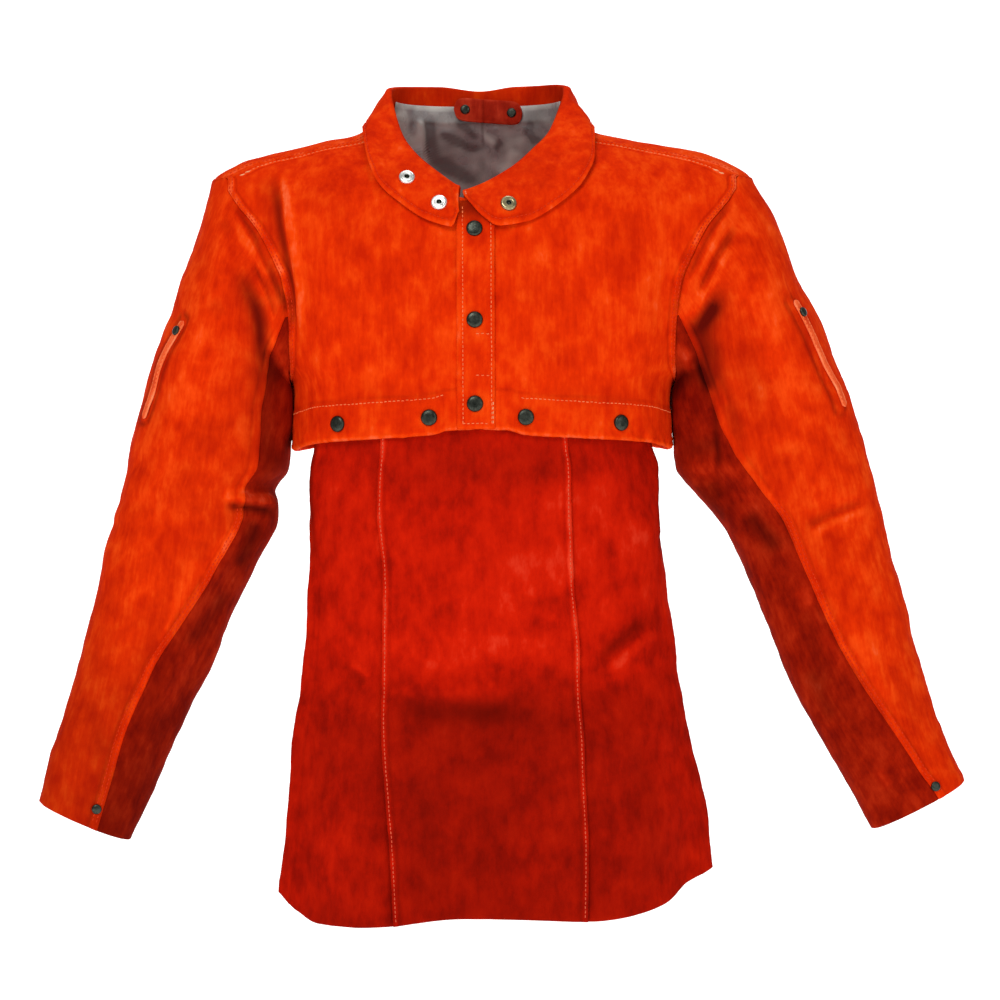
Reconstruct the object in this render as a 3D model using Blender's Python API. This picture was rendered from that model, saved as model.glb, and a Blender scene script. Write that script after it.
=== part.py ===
"""Welding cape sleeve: a suede cape with a turned-down collar, two long sleeves and a bib
that is snapped behind the hem of the cape. It keeps the form that it has when it is worn.
Metres, +Z up, the front faces -Y. Left and right are the viewer's. The origin is the
middle of the base of the neck, where the cape sits on the shoulders."""

import functools
import math

import bmesh
import bpy
import numpy as np
from mathutils import Vector
from mathutils.bvhtree import BVHTree

# Walls and clearances
LEATHER = 0.0022
SATIN = 0.0012
LAYER_GAP = 0.0005
SEAM_GAP = 0.0008

# Cape
SHOULDER_HALF = 0.2655
SIDE_HALF = 0.1845
FRONT_DEPTH = 0.125
BACK_DEPTH = 0.112
FORM_POWER = 2.6
NECK_HALF = 0.090
NECK_DEPTH = 0.085
NECK_RISE = 0.066
NECK_FALL = 0.062
ARMHOLE_TOP = 0.033
ARMHOLE_BOTTOM = 0.235
CAPE_DROP = 0.292
SEAM_DROP = 0.012
HEM_BAND = 0.037
CAPE_FOLD = 0.004

# Placket
PLACKET_LEFT = 0.0195
PLACKET_RIGHT = 0.0155
PLACKET_TOP = 0.064

# Collar
COLLAR_DROP = 0.088
COLLAR_BULGE = 0.005
FOLD_RADIUS = 0.003
STAND_LAP = 0.004

# Sleeves
SLEEVE_CLEAR = 0.003
SLEEVE_DROP = 0.450
SLEEVE_REACH = 0.180
ARM_WIDTH = 0.160
ARM_DEPTH = 0.075
ARM_FORWARD = 0.050
ARM_POWER = 2.2
ARM_FOLD = 0.010
STRAP_WIDTH = 0.0095

# Bib
BIB_HIDDEN = 0.030
BIB_DROP = 0.495
BIB_HALF = 0.180
BIB_FOLD = 0.012
BIB_LAP_DEGREES = 3.5

# Lining and hanger tab
LINING_TOP = 0.050
LINING_DROP = 0.150
LINING_INSET = 0.0090
TAB_LENGTH = 0.074
TAB_HEIGHT = 0.023
TAB_LEVEL = 0.0450

# Press studs
STUD_RADIUS = 0.0078
STUD_HEIGHT = 0.0034
SMALL_STUD_RADIUS = 0.0048
SMALL_STUD_HEIGHT = 0.0024
HEM_STUD_RISE = 0.0155

# Form of the shoulders. level: share of NECK_RISE above the origin and of ARMHOLE_TOP
# below it. out: 0 at the neck, 1 at the shoulder tip. front, back: shares of the depths.
SHOULDERS = (
    # level, out, front, back
    (1.00, 0.020, 0.120, 0.714),
    (0.53, 0.045, 0.136, 0.696),
    (0.41, 0.077, 0.144, 0.741),
    (0.30, 0.114, 0.160, 0.786),
    (0.20, 0.182, 0.190, 0.821),
    (0.09, 0.353, 0.290, 0.857),
    (-0.06, 0.570, 0.400, 0.893),
    (-0.27, 0.741, 0.464, 0.911),
    (-0.50, 0.855, 0.530, 0.929),
    (-1.00, 0.990, 0.650, 0.955),
)

# Form of the trunk. down: share of the armhole's height. out: 0 at the side, 1 at the
# shoulder tip. front, back: shares of the depths.
TRUNK = (
    # down, out, front, back
    (0.05, 1.000, 0.708, 0.965),
    (0.13, 0.968, 0.784, 0.982),
    (0.27, 0.809, 0.856, 0.991),
    (0.40, 0.623, 0.904, 1.000),
    (0.54, 0.463, 0.936, 0.991),
    (0.68, 0.340, 0.960, 0.982),
    (0.83, 0.228, 0.976, 0.973),
    (0.93, 0.142, 0.984, 0.964),
    (1.00, 0.031, 0.988, 0.955),
    (1.07, 0.000, 0.992, 0.946),
    (1.40, 0.000, 1.000, 0.938),
)

# Edge of the neck hole. out: share of NECK_HALF. level: share of NECK_RISE above the
# origin and of NECK_FALL below it.
NECK_FRONT = (
    # out, level
    (0.00, -1.00),
    (0.33, -0.90),
    (0.61, -0.66),
    (0.83, -0.32),
    (0.98, 0.00),
    (1.09, 0.20),
    (1.11, 0.30),
    (1.15, 0.41),
)
NECK_BACK = (
    # out, level
    (1.15, 0.41),
    (1.00, 0.455),
    (0.67, 0.50),
    (0.00, 0.53),
)

# Edges of the armholes. down: share of the armhole's height. out: share of SIDE_HALF.
ARMHOLE_FRONT = (
    # down, out
    (0.067, 1.331),
    (0.147, 1.271),
    (0.250, 1.179),
    (0.381, 1.103),
    (0.525, 1.043),
    (0.666, 1.022),
    (0.827, 1.011),
    (0.936, 1.008),
    (1.000, 1.014),
)
ARMHOLE_BACK = (
    # down, out
    (0.184, 1.308),
    (0.250, 1.274),
    (0.381, 1.203),
    (0.525, 1.138),
    (0.666, 1.095),
    (0.827, 1.057),
    (0.936, 1.033),
    (1.000, 1.014),
)

# Lower edge of the cape. out: share of SIDE_HALF. down: share of CAPE_DROP.
HEM = (
    # out, down
    (0.00, 0.969),
    (0.16, 0.972),
    (0.24, 0.986),
    (0.54, 0.998),
    (0.87, 1.010),
    (1.00, 1.029),
)

# Dents and folds of the cape. out: share of SIDE_HALF. down: share of CAPE_DROP.
# breadth and height: shares of SIDE_HALF and CAPE_DROP. rise: share of CAPE_FOLD.
CAPE_FOLDS = (
    # out, down, breadth, height, rise
    (-0.97, 0.52, 0.10, 0.34, -0.9),
    (-0.80, 0.45, 0.09, 0.40, 0.7),
    (0.95, 0.55, 0.10, 0.30, -0.8),
    (0.76, 0.48, 0.10, 0.36, 0.6),
    (-0.45, 0.55, 0.16, 0.30, 0.4),
    (0.42, 0.62, 0.18, 0.24, -0.4),
)

# Stations round the collar, from its left front end to its right front end. fold: its top
# line; edge: the free edge of the fall; neck: where its stand crosses the neck hole's edge.
# x: shares of NECK_HALF. fold_y: share of NECK_DEPTH. fold_z: share of NECK_RISE.
# edge_z: share of COLLAR_DROP. neck_z: share of NECK_FALL. sides: -1 front, 1 back.
COLLAR = (
    # fold_x, fold_y, fold_z, edge_x, edge_z, edge_side, neck_x, neck_z, neck_side, lift
    (-0.193, -0.99, -0.704, -0.20, -0.853, -1, -0.21, -0.97, -1, 0.0065),
    (-0.237, -1.00, -0.68, -0.285, -1.015, -1, -0.24, -0.95, -1, 0.0060),
    (-0.457, -0.905, -0.455, -0.542, -0.932, -1, -0.53, -0.74, -1, 0.0045),
    (-0.690, -0.71, -0.165, -0.854, -0.719, -1, -0.78, -0.42, -1, 0.0040),
    (-0.859, -0.42, 0.183, -1.072, -0.508, -1, -0.96, -0.05, -1, 0.0050),
    (-0.958, -0.09, 0.645, -1.205, -0.180, -1, -1.09, 0.24, -1, 0.0055),
    (-0.985, 0.10, 0.82, -1.250, 0.150, -1, -1.14, 0.40, -1, 0.0070),
    (-0.985, 0.29, 0.96, -1.245, 0.155, 1, -1.11, 0.45, 1, 0.0070),
    (-0.81, 0.71, 1.06, -1.03, 0.151, 1, -0.91, 0.50, 1, 0.0040),
    (-0.44, 0.91, 1.09, -0.56, 0.142, 1, -0.50, 0.55, 1, 0.0040),
    (0.02, 0.95, 1.025, 0.00, 0.142, 1, 0.00, 0.56, 1, 0.0040),
    (0.44, 0.91, 1.09, 0.56, 0.142, 1, 0.50, 0.55, 1, 0.0040),
    (0.81, 0.71, 1.08, 1.03, 0.151, 1, 0.91, 0.50, 1, 0.0040),
    (0.985, 0.29, 0.98, 1.255, 0.155, 1, 1.11, 0.45, 1, 0.0065),
    (0.975, 0.09, 0.82, 1.265, 0.150, -1, 1.14, 0.40, -1, 0.0060),
    (0.93, -0.12, 0.61, 1.270, -0.195, -1, 1.09, 0.23, -1, 0.0060),
    (0.79, -0.47, 0.16, 1.140, -0.502, -1, 0.93, -0.10, -1, 0.0050),
    (0.625, -0.66, -0.09, 0.848, -0.775, -1, 0.76, -0.45, -1, 0.0040),
    (0.42, -0.82, -0.355, 0.526, -0.956, -1, 0.50, -0.77, -1, 0.0045),
    (0.152, -0.98, -0.60, 0.238, -1.008, -1, 0.19, -0.975, -1, 0.0060),
    (0.033, -1.005, -0.682, 0.067, -0.913, -1, 0.04, -1.00, -1, 0.0065),
    (-0.085, -1.02, -0.747, -0.061, -0.779, -1, -0.09, -0.99, -1, 0.0065),
    (-0.150, -1.02, -0.775, -0.137, -0.679, -1, -0.14, -0.98, -1, 0.0065),
)

# Rings of each sleeve from the armhole to the cuff. drop, out: shares of SLEEVE_DROP and
# SLEEVE_REACH to the inner end of the ring. width: share of ARM_WIDTH. lean: degrees of
# the ring. depth: share of ARM_DEPTH. forward: share of ARM_FORWARD. seam: degrees round
# the ring from its outer end to its front and back seams.
SLEEVES = {
    "left": (
        # drop, out, width, lean, depth, forward, seam
        (0.017, 0.000, 1.256, 65.3, 1.00, 0.00, 126),
        (0.037, 0.000, 1.117, 56.4, 1.00, 0.00, 126),
        (0.066, 0.000, 0.963, 38.2, 0.99, 0.01, 127),
        (0.104, 0.000, 0.946, 17.9, 0.96, 0.03, 128),
        (0.188, 0.011, 0.999, 6.1, 0.92, 0.08, 129),
        (0.243, 0.089, 0.976, -1.9, 0.88, 0.12, 129),
        (0.294, 0.083, 1.013, -1.4, 0.86, 0.16, 128),
        (0.409, 0.200, 0.941, 5.2, 0.80, 0.28, 122),
        (0.508, 0.318, 0.864, 3.9, 0.74, 0.40, 113),
        (0.640, 0.455, 0.792, 6.0, 0.68, 0.56, 100),
        (0.752, 0.592, 0.732, 7.9, 0.62, 0.72, 99),
        (0.885, 0.742, 0.668, 17.2, 0.56, 0.88, 104),
        (0.997, 0.866, 0.606, 23.4, 0.50, 1.00, 108),
    ),
    "right": (
        # drop, out, width, lean, depth, forward, seam
        (0.019, 0.000, 1.293, 63.6, 1.00, 0.00, 126),
        (0.041, 0.000, 1.188, 54.6, 1.00, 0.00, 125),
        (0.074, 0.000, 1.116, 43.3, 0.99, 0.01, 123),
        (0.130, 0.000, 1.117, 29.2, 0.96, 0.03, 120),
        (0.188, 0.011, 1.154, 19.6, 0.92, 0.07, 114),
        (0.251, 0.128, 1.093, 8.5, 0.89, 0.12, 108),
        (0.312, 0.267, 1.003, 4.0, 0.85, 0.17, 105),
        (0.424, 0.433, 0.909, 4.1, 0.80, 0.27, 104),
        (0.498, 0.500, 0.901, 2.9, 0.76, 0.36, 102),
        (0.577, 0.575, 0.864, 2.3, 0.72, 0.46, 98),
        (0.688, 0.692, 0.816, 2.4, 0.66, 0.62, 90),
        (0.802, 0.852, 0.726, 6.8, 0.60, 0.78, 83),
        (0.890, 0.970, 0.680, 12.2, 0.56, 0.90, 77),
        (0.980, 1.088, 0.650, 27.0, 0.50, 1.00, 72),
    ),
}

# Folds and dents of each sleeve. along: rings. round: degrees. length, breadth: rings and
# degrees. rise: share of ARM_FOLD.
SLEEVE_FOLDS = {
    "left": (
        # along, round, length, breadth, rise
        (1.6, 92, 1.3, 18, -0.9),
        (2.2, 62, 1.5, 16, 0.5),
        (4.6, 160, 0.5, 30, -0.7),
        (5.5, 150, 0.5, 26, 0.5),
        (7.3, 145, 1.2, 22, -0.5),
        (8.4, 112, 2.0, 12, 0.4),
        (9.5, 150, 1.6, 26, -0.6),
    ),
    "right": (
        # along, round, length, breadth, rise
        (1.6, 95, 1.3, 18, -0.8),
        (2.4, 60, 1.5, 16, 0.5),
        (4.2, 140, 1.2, 16, -0.8),
        (5.0, 104, 0.7, 14, 0.6),
        (6.2, 60, 0.5, 26, -0.5),
        (6.8, 96, 0.8, 16, 0.5),
        (8.8, 130, 1.8, 26, -0.5),
        (10.4, 84, 2.2, 12, 0.4),
    ),
}

# Ends of the strips on the upper arms: ring and degrees round it, top end first.
ARM_STRAPS = {"left": ((1.87, 47), (3.48, 30)), "right": ((2.04, 39), (4.04, 28))}
CUFF_STUDS = {"left": (11.62, 100), "right": (12.50, 70)}

# Sections of the bib. down: share of BIB_DROP. left, right: half widths as shares of
# BIB_HALF. body: half width of the form, share of SIDE_HALF. depth: share of FRONT_DEPTH.
# left_seam, right_seam: shares of the way to the side edges.
BIB = (
    # down, left, right, body, depth, left_seam, right_seam
    (0.00, 0.955, 0.975, 1.000, 0.988, 0.370, 0.285),
    (0.08, 0.938, 0.982, 1.000, 0.992, 0.380, 0.288),
    (0.13, 0.960, 1.012, 1.030, 0.995, 0.383, 0.290),
    (0.20, 0.972, 1.022, 1.050, 0.998, 0.385, 0.292),
    (0.34, 0.930, 1.026, 1.060, 1.005, 0.395, 0.303),
    (0.46, 0.942, 1.064, 1.090, 1.010, 0.400, 0.310),
    (0.58, 0.975, 1.098, 1.140, 1.020, 0.385, 0.308),
    (0.70, 1.026, 1.155, 1.190, 1.035, 0.350, 0.290),
    (0.86, 1.056, 1.258, 1.290, 1.055, 0.318, 0.270),
    (1.00, 1.104, 1.290, 1.340, 1.070, 0.285, 0.265),
)

# Lower edge of the bib. across: share of the way to each side edge. rise: share of BIB_DROP.
BIB_HEM = (
    # across, rise
    (-1.00, 0.052),
    (-0.88, 0.018),
    (-0.67, -0.004),
    (-0.34, -0.007),
    (0.00, 0.008),
    (0.28, 0.003),
    (0.44, 0.011),
    (0.62, 0.030),
    (0.78, 0.061),
    (1.00, 0.088),
)

# Waves and dents of the bib. across, down: shares of the way to the edges. breadth, height:
# shares of the same. rise: share of BIB_FOLD.
BIB_FOLDS = (
    # across, down, breadth, height, rise
    (-0.46, 1.05, 0.16, 0.40, 1.0),
    (-0.12, 1.05, 0.16, 0.36, -0.6),
    (0.36, 1.05, 0.20, 0.40, 0.9),
    (0.78, 1.05, 0.14, 0.36, -0.7),
    (-0.86, 1.00, 0.12, 0.34, -0.6),
    (-0.10, 0.52, 0.55, 0.07, -0.5),
    (0.30, 0.66, 0.45, 0.06, 0.4),
    (-0.60, 0.34, 0.20, 0.12, 0.3),
    (0.62, 0.40, 0.20, 0.12, 0.3),
)

# Places of the press studs
PLACKET_STUDS = (0.311, 0.613, 0.905)  # shares of CAPE_DROP below the origin
PLACKET_STUD_OUT = -0.0030
HEM_STUDS = (-0.738, -0.256, 0.248, 0.744)  # shares of SIDE_HALF
COLLAR_STUDS = ((1.57, 0.40), (2.77, 0.52), (18.57, 0.36))  # station, share up the fall
TAB_STUDS = (-0.34, 0.34)  # shares of TAB_LENGTH from its middle
TAB_MIDDLE = 0.0113

# Grid sizes
FRONT_STEPS = 8
BACK_STEPS = 12
FRONT_COLUMNS = 9
BACK_COLUMNS = 14
STUD_SIDES = 12

# slot: base colour, roughness, metallic
FINISHES = {
    "cape_suede": ((0.76, 0.045, 0.004), 0.92, 0.0),
    "sleeve_suede": ((0.72, 0.040, 0.004), 0.92, 0.0),
    "bib_suede": ((0.50, 0.012, 0.002), 0.92, 0.0),
    "strap_leather": ((0.82, 0.085, 0.015), 0.85, 0.0),
    "tab_leather": ((0.26, 0.012, 0.004), 0.80, 0.0),
    "grey_satin": ((0.16, 0.145, 0.15), 0.45, 0.0),
    "dark_metal": ((0.035, 0.04, 0.035), 0.35, 1.0),
    "bright_metal": ((0.62, 0.62, 0.60), 0.25, 1.0),
}


def smooth(xs, ys, x):
    """Value at x of a smooth curve through the points, with no overshoot between them."""
    xs, ys = np.asarray(xs, float), np.asarray(ys, float)
    slopes = np.diff(ys) / np.diff(xs)
    total = slopes[1:] + slopes[:-1]
    product = slopes[1:] * slopes[:-1]
    level = np.where(product > 0, 2 * product / np.where(product > 0, total, 1), 0)
    tangents = np.concatenate([slopes[:1], level, slopes[-1:]])
    i = int(np.clip(np.searchsorted(xs, x) - 1, 0, len(xs) - 2))
    span = xs[i + 1] - xs[i]
    t = min(max((x - xs[i]) / span, 0), 1)
    return (
        ys[i] * (1 + 2 * t) * (1 - t) ** 2
        + ys[i + 1] * t * t * (3 - 2 * t)
        + span * t * (1 - t) * ((1 - t) * tangents[i] - t * tangents[i + 1])
    )


def columns(table):
    return np.array(table, float).T


def signed_power(value, power):
    return math.copysign(abs(value) ** power, value)


def unit(vector):
    return vector / np.linalg.norm(vector)


def bumps(folds, x, y):
    """Sum of rounded rises at rows of (x, y, breadth, height, rise)."""
    return sum(
        row[4] * math.exp(-(((x - row[0]) / row[2]) ** 2) - ((y - row[1]) / row[3]) ** 2)
        for row in folds
    )


def form_rows():
    """Rows of (height, half width, front depth, back depth) of the worn form, top first."""
    rows = []
    for level, out, front, back in SHOULDERS:
        z = level * (NECK_RISE if level > 0 else ARMHOLE_TOP)
        rows.append((z, NECK_HALF + out * (SHOULDER_HALF - NECK_HALF), front, back))
    for down, out, front, back in TRUNK:
        z = -ARMHOLE_TOP - down * (ARMHOLE_BOTTOM - ARMHOLE_TOP)
        rows.append((z, SIDE_HALF + out * (SHOULDER_HALF - SIDE_HALF), front, back))
    return [(z, half, f * FRONT_DEPTH, b * BACK_DEPTH) for z, half, f, b in rows]


FORM = columns(form_rows()[::-1])
NECK_EDGE_FRONT = columns(NECK_FRONT)
NECK_EDGE_BACK = columns(NECK_BACK)
HEM_EDGE = columns(HEM)


def half_width(z):
    return smooth(FORM[0], FORM[1], z)


def depth(z, back):
    return smooth(FORM[0], FORM[3] if back else FORM[2], z)


def hem_level(x):
    return -CAPE_DROP * smooth(HEM_EDGE[0], HEM_EDGE[1], abs(x) / SIDE_HALF)


def angle_at(x, z):
    """Angle round the form, from the front centre, of a point at x out on its front."""
    return math.asin(min(1, abs(x) / half_width(z)) ** (FORM_POWER / 2))


def cape_point(angle, z, offset=0.0):
    """Point on the cape at an angle round it and a height, offset out from its outside."""
    out, ahead = math.sin(angle), math.cos(angle)
    back = ahead < 0
    half, deep = half_width(z), depth(z, back)
    x = half * signed_power(out, 2 / FORM_POWER)
    y = -deep * signed_power(ahead, 2 / FORM_POWER)
    step = 0.001
    half_slope = (half_width(z + step) - half_width(z - step)) / (2 * step)
    deep_slope = (depth(z + step, back) - depth(z - step, back)) / (2 * step)
    across = abs(x / half) ** FORM_POWER
    along = abs(y / deep) ** FORM_POWER
    slope = across * half_slope / half + along * deep_slope / deep
    normal = unit(
        np.array(
            (
                signed_power(x / half, FORM_POWER - 1) / half,
                signed_power(y / deep, FORM_POWER - 1) / deep,
                -slope,
            )
        )
    )
    if not back:
        offset += CAPE_FOLD * bumps(CAPE_FOLDS, x / SIDE_HALF, -z / CAPE_DROP)
    if z < -ARMHOLE_BOTTOM:
        share = (z + ARMHOLE_BOTTOM) / (ARMHOLE_BOTTOM - CAPE_DROP)
        z += share * (hem_level(x) + CAPE_DROP)
    return np.array((x, y, z)) + offset * normal


def form_angle(x, z, back=False):
    """Angle round the form of a point at x out on its front or its back."""
    angle = math.copysign(angle_at(x, z), x)
    return math.pi - angle if back else angle


def on_front(x, z, offset=0.0):
    return cape_point(form_angle(x, z), z, offset)


def inside_point(angle, z, inset):
    """Point inside the cape; inside the neck it is inset level, so that it stays upright."""
    outside = cape_point(angle, z)
    normal = cape_point(angle, z, 0.01) - outside
    return outside - unit(normal * (1, 1, smooth((0, 0.02), (1, 0), z))) * inset


def neck_level(share):
    return share * (NECK_RISE if share > 0 else NECK_FALL)


def neck_out(z, back):
    """Half width of the neck hole's edge at a height."""
    table = NECK_EDGE_BACK if back else NECK_EDGE_FRONT
    return NECK_HALF * smooth([neck_level(share) for share in table[1]], table[0], z)


def seam_angle(z):
    """Angle of the shoulder seam, which lies SEAM_DROP below the ridge of the shoulder."""
    return angle_at(half_width(z + SEAM_DROP), z)


def armhole_share(z):
    return (-z - ARMHOLE_TOP) / (ARMHOLE_BOTTOM - ARMHOLE_TOP)


def armhole_level(share):
    return -ARMHOLE_TOP - share * (ARMHOLE_BOTTOM - ARMHOLE_TOP)


def armhole_angle(z, back):
    """Angle of the armhole's edge at a height, on the front or on the back of the form.
    Above the first row of its table the edge runs level out of the shoulder seam."""
    table = columns(ARMHOLE_BACK if back else ARMHOLE_FRONT)
    share, first = armhole_share(z), table[0][0]
    if share >= first:
        return form_angle(SIDE_HALF * smooth(table[0], table[1], share), z, back)
    start_y = cape_point(seam_angle(-ARMHOLE_TOP), -ARMHOLE_TOP)[1]
    end_z = armhole_level(first)
    end_y = cape_point(form_angle(SIDE_HALF * table[1][0], end_z, back), end_z)[1]
    y = start_y + (end_y - start_y) * math.sqrt(max(0, share) / first)
    return math.acos(-signed_power(y / depth(z, y > 0), FORM_POWER / 2))


def side_angle(z, back):
    """Angle where a front or a back panel ends at a height."""
    neck_side = neck_level(NECK_FRONT[-1][1])
    if z > neck_side:
        return math.pi - angle_at(neck_out(z, True), z)
    if z > neck_side - SEAM_DROP:
        return angle_at(neck_out(z, False), z)
    if z > -ARMHOLE_TOP:
        return seam_angle(z)
    if z > -ARMHOLE_BOTTOM + 1e-6:
        return armhole_angle(z, back)
    return math.pi / 2


def armhole_levels(back):
    """Heights of the rows beside an armhole, closer where its edge is level."""
    steps, power = (BACK_STEPS, 1.15) if back else (FRONT_STEPS, 1.0)
    turns = [math.pi * (i / steps) ** power for i in range(steps + 1)]
    return [armhole_level((1 - math.cos(turn)) / 2) for turn in turns]


def hem_levels():
    band = -CAPE_DROP + HEM_BAND
    return [band, band - 0.002, (band - CAPE_DROP) / 2, -CAPE_DROP]


def shoulder_levels():
    top = neck_level(NECK_FRONT[-1][1]) - SEAM_DROP
    return [top + (-ARMHOLE_TOP - top) * share for share in (0, 0.15, 0.32, 0.52, 0.75)]


def wall(z):
    """Thickness of the cape, which is double where its hem is turned up."""
    return LEATHER * (2 if z < -CAPE_DROP + HEM_BAND - 0.001 else 1)


def material(slot):
    found = bpy.data.materials.get(slot)
    if found:
        return found
    colour, roughness, metallic = FINISHES[slot]
    made = bpy.data.materials.new(slot)
    made.use_nodes = True
    shader = made.node_tree.nodes["Principled BSDF"]
    shader.inputs["Base Color"].default_value = (*colour, 1)
    shader.inputs["Roughness"].default_value = roughness
    shader.inputs["Metallic"].default_value = metallic
    made.diffuse_color = (*colour, 1)
    return made


def piece(name, mesh, slot):
    """A named object in the scene, shaded smooth, under the garment's empty."""
    mesh.shade_smooth()
    mesh.set_sharp_from_angle(angle=math.radians(60))
    mesh.materials.append(material(slot))
    made = bpy.data.objects.new(name, mesh)
    made.parent = bpy.data.objects["welding_cape_sleeve"]
    bpy.context.scene.collection.objects.link(made)
    return made


def shell(name, outer, inner, slot):
    """Closed wall between two grids of points with the same rows and columns."""
    outer, inner = np.array(outer), np.array(inner)
    row_count, column_count = outer.shape[:2]
    bm = bmesh.new()
    outside = [[bm.verts.new(point) for point in row] for row in outer]
    inside = [[bm.verts.new(point) for point in row] for row in inner]
    for i in range(row_count - 1):
        for j in range(column_count - 1):
            for grid in (outside, inside):
                bm.faces.new((grid[i][j], grid[i + 1][j], grid[i + 1][j + 1], grid[i][j + 1]))
    rim = [(i, 0) for i in range(row_count)]
    rim += [(row_count - 1, j) for j in range(1, column_count)]
    rim += [(i, column_count - 1) for i in range(row_count - 2, -1, -1)]
    rim += [(0, j) for j in range(column_count - 2, 0, -1)]
    for (i, j), (k, m) in zip(rim, rim[1:] + rim[:1]):
        bm.faces.new((outside[i][j], outside[k][m], inside[k][m], inside[i][j]))
    bmesh.ops.triangulate(bm, faces=bm.faces, quad_method="SHORT_EDGE")
    bmesh.ops.recalc_face_normals(bm, faces=bm.faces)
    mesh = bpy.data.meshes.new(name)
    bm.to_mesh(mesh)
    bm.free()
    return piece(name, mesh, slot)


def cape_fronts():
    levels = shoulder_levels() + armhole_levels(False) + hem_levels()
    for name, side in (("left", -1), ("right", 1)):
        outer, inner = [], []
        for z in levels:
            start_x = neck_out(z, False) if z > -NECK_FALL else SEAM_GAP / 2
            start, end = angle_at(start_x, z), side_angle(z, False) - SEAM_GAP / SIDE_HALF
            turns = [
                side * (start + (end - start) * j / FRONT_COLUMNS) for j in range(FRONT_COLUMNS + 1)
            ]
            outer.append([cape_point(turn, z) for turn in turns])
            inner.append([cape_point(turn, z, -wall(z)) for turn in turns])
        shell(f"cape_front_{name}", outer, inner, "cape_suede")


def cape_back():
    top, side = neck_level(NECK_BACK[-1][1]), neck_level(NECK_BACK[0][1])
    levels = [side + (top - side) * share for share in (0.97, 0.83, 0.58, 0.33, 0.16, 0)]
    levels += [side - SEAM_DROP / 2]
    levels += shoulder_levels() + armhole_levels(True) + hem_levels()
    outer, inner = [], []
    for z in levels:
        start = side_angle(z, True) + SEAM_GAP / SIDE_HALF
        span = 2 * (math.pi - start)
        turns = [start + span * j / BACK_COLUMNS for j in range(BACK_COLUMNS + 1)]
        outer.append([cape_point(turn, z) for turn in turns])
        inner.append([cape_point(turn, z, -wall(z)) for turn in turns])
    shell("cape_back", outer, inner, "cape_suede")


def placket():
    rows = armhole_levels(False) + hem_levels()
    levels = [-PLACKET_TOP] + [z for z in rows if z < -PLACKET_TOP - LEATHER]
    outs = np.linspace(-PLACKET_LEFT, PLACKET_RIGHT, 5)
    outer = [[on_front(x, z, LAYER_GAP + LEATHER) for x in outs] for z in levels]
    inner = [[on_front(x, z, LAYER_GAP) for x in outs] for z in levels]
    shell("placket", outer, inner, "cape_suede")


@functools.cache
def collar_stations():
    """Rows of (edge, fold, stand at the neck's edge, foot of the stand) points."""
    stations = []
    inset = 1.5 * LEATHER + 5 * LAYER_GAP
    for fx, fy, fz, ex, ez, edge_side, nx, nz, neck_side, lift in COLLAR:
        edge_x, edge_z = ex * NECK_HALF, ez * COLLAR_DROP
        edge = cape_point(form_angle(edge_x, edge_z, edge_side > 0), edge_z, lift)
        fold = np.array((fx * NECK_HALF, fy * NECK_DEPTH, fz * NECK_RISE))
        neck_x, neck_z = nx * NECK_HALF, neck_level(nz)
        foot_z = neck_z - STAND_LAP
        stand = inside_point(form_angle(neck_x, neck_z, neck_side > 0), neck_z, inset)
        foot = inside_point(form_angle(neck_x, foot_z, neck_side > 0), foot_z, inset)
        stations.append(np.concatenate((edge, fold, stand, foot)))
    return np.array(stations)


def collar_at(station):
    """Edge, fold, stand and foot points at a station, which may lie between two rows."""
    rows = range(len(COLLAR))
    found = [smooth(rows, column, station) for column in collar_stations().T]
    return np.array(found).reshape(4, 3)


def collar_section(station):
    """Middle of the collar's wall at a station, from the free edge to the stand's foot."""
    edge, fold, stand, foot = collar_at(station)
    outward = unit(np.array((fold[0], fold[1], 0)))
    up = unit(fold - (edge + stand) / 2)
    shoulder = fold + FOLD_RADIUS * (outward - up)
    inside = fold - FOLD_RADIUS * (outward + up)
    lift = unit(outward + (0, 0, 0.5))
    bulge = COLLAR_BULGE * min(1, np.linalg.norm(shoulder - edge) / (COLLAR_DROP / 2))
    fall = [
        edge + (shoulder - edge) * share + lift * bulge * 4 * share * (1 - share)
        for share in (0, 0.25, 0.5, 0.75)
    ]
    return fall + [shoulder, fold - up * LEATHER / 2, inside, stand, foot]


def grid_normals(grid):
    """Unit normals of a grid of points."""
    grid = np.array(grid)
    down = np.gradient(grid, axis=0)
    along = np.gradient(grid, axis=1)
    normals = np.cross(along, down)
    return normals / np.linalg.norm(normals, axis=2, keepdims=True)


def collar():
    stations = np.linspace(0, len(COLLAR) - 1, 3 * len(COLLAR) // 2)
    middle = np.array([collar_section(station) for station in stations])
    half_wall = grid_normals(middle) * LEATHER / 2
    shell("collar", middle + half_wall, middle - half_wall, "cape_suede")


@functools.cache
def armhole_corners():
    """Row ends round an armhole: down the front panel, then up the back panel."""
    front = [cape_point(side_angle(z, False), z) for z in armhole_levels(False)]
    back = [cape_point(side_angle(z, True), z) for z in armhole_levels(True)]
    return front + back[-2::-1]


def armhole_loop(side, turn):
    """Point of the armhole's edge at degrees round it: 0 at the top, 90 at the front."""
    corners = armhole_corners()
    count = len(corners) - 1
    step = ((turn - 180) * count / 360 + FRONT_STEPS) % count
    i = int(step)
    point = corners[i] + (corners[i + 1] - corners[i]) * (step - i)
    return point * (side, 1, 1) + (side * 2 * SEAM_GAP, 0, 0)


def sleeve_ring(name, ring):
    """(drop, out, width, lean, depth, forward, seam) at a ring or between two rings."""
    table = columns(SLEEVES[name])
    return [smooth(range(len(table[0])), column, ring) for column in table]


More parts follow.
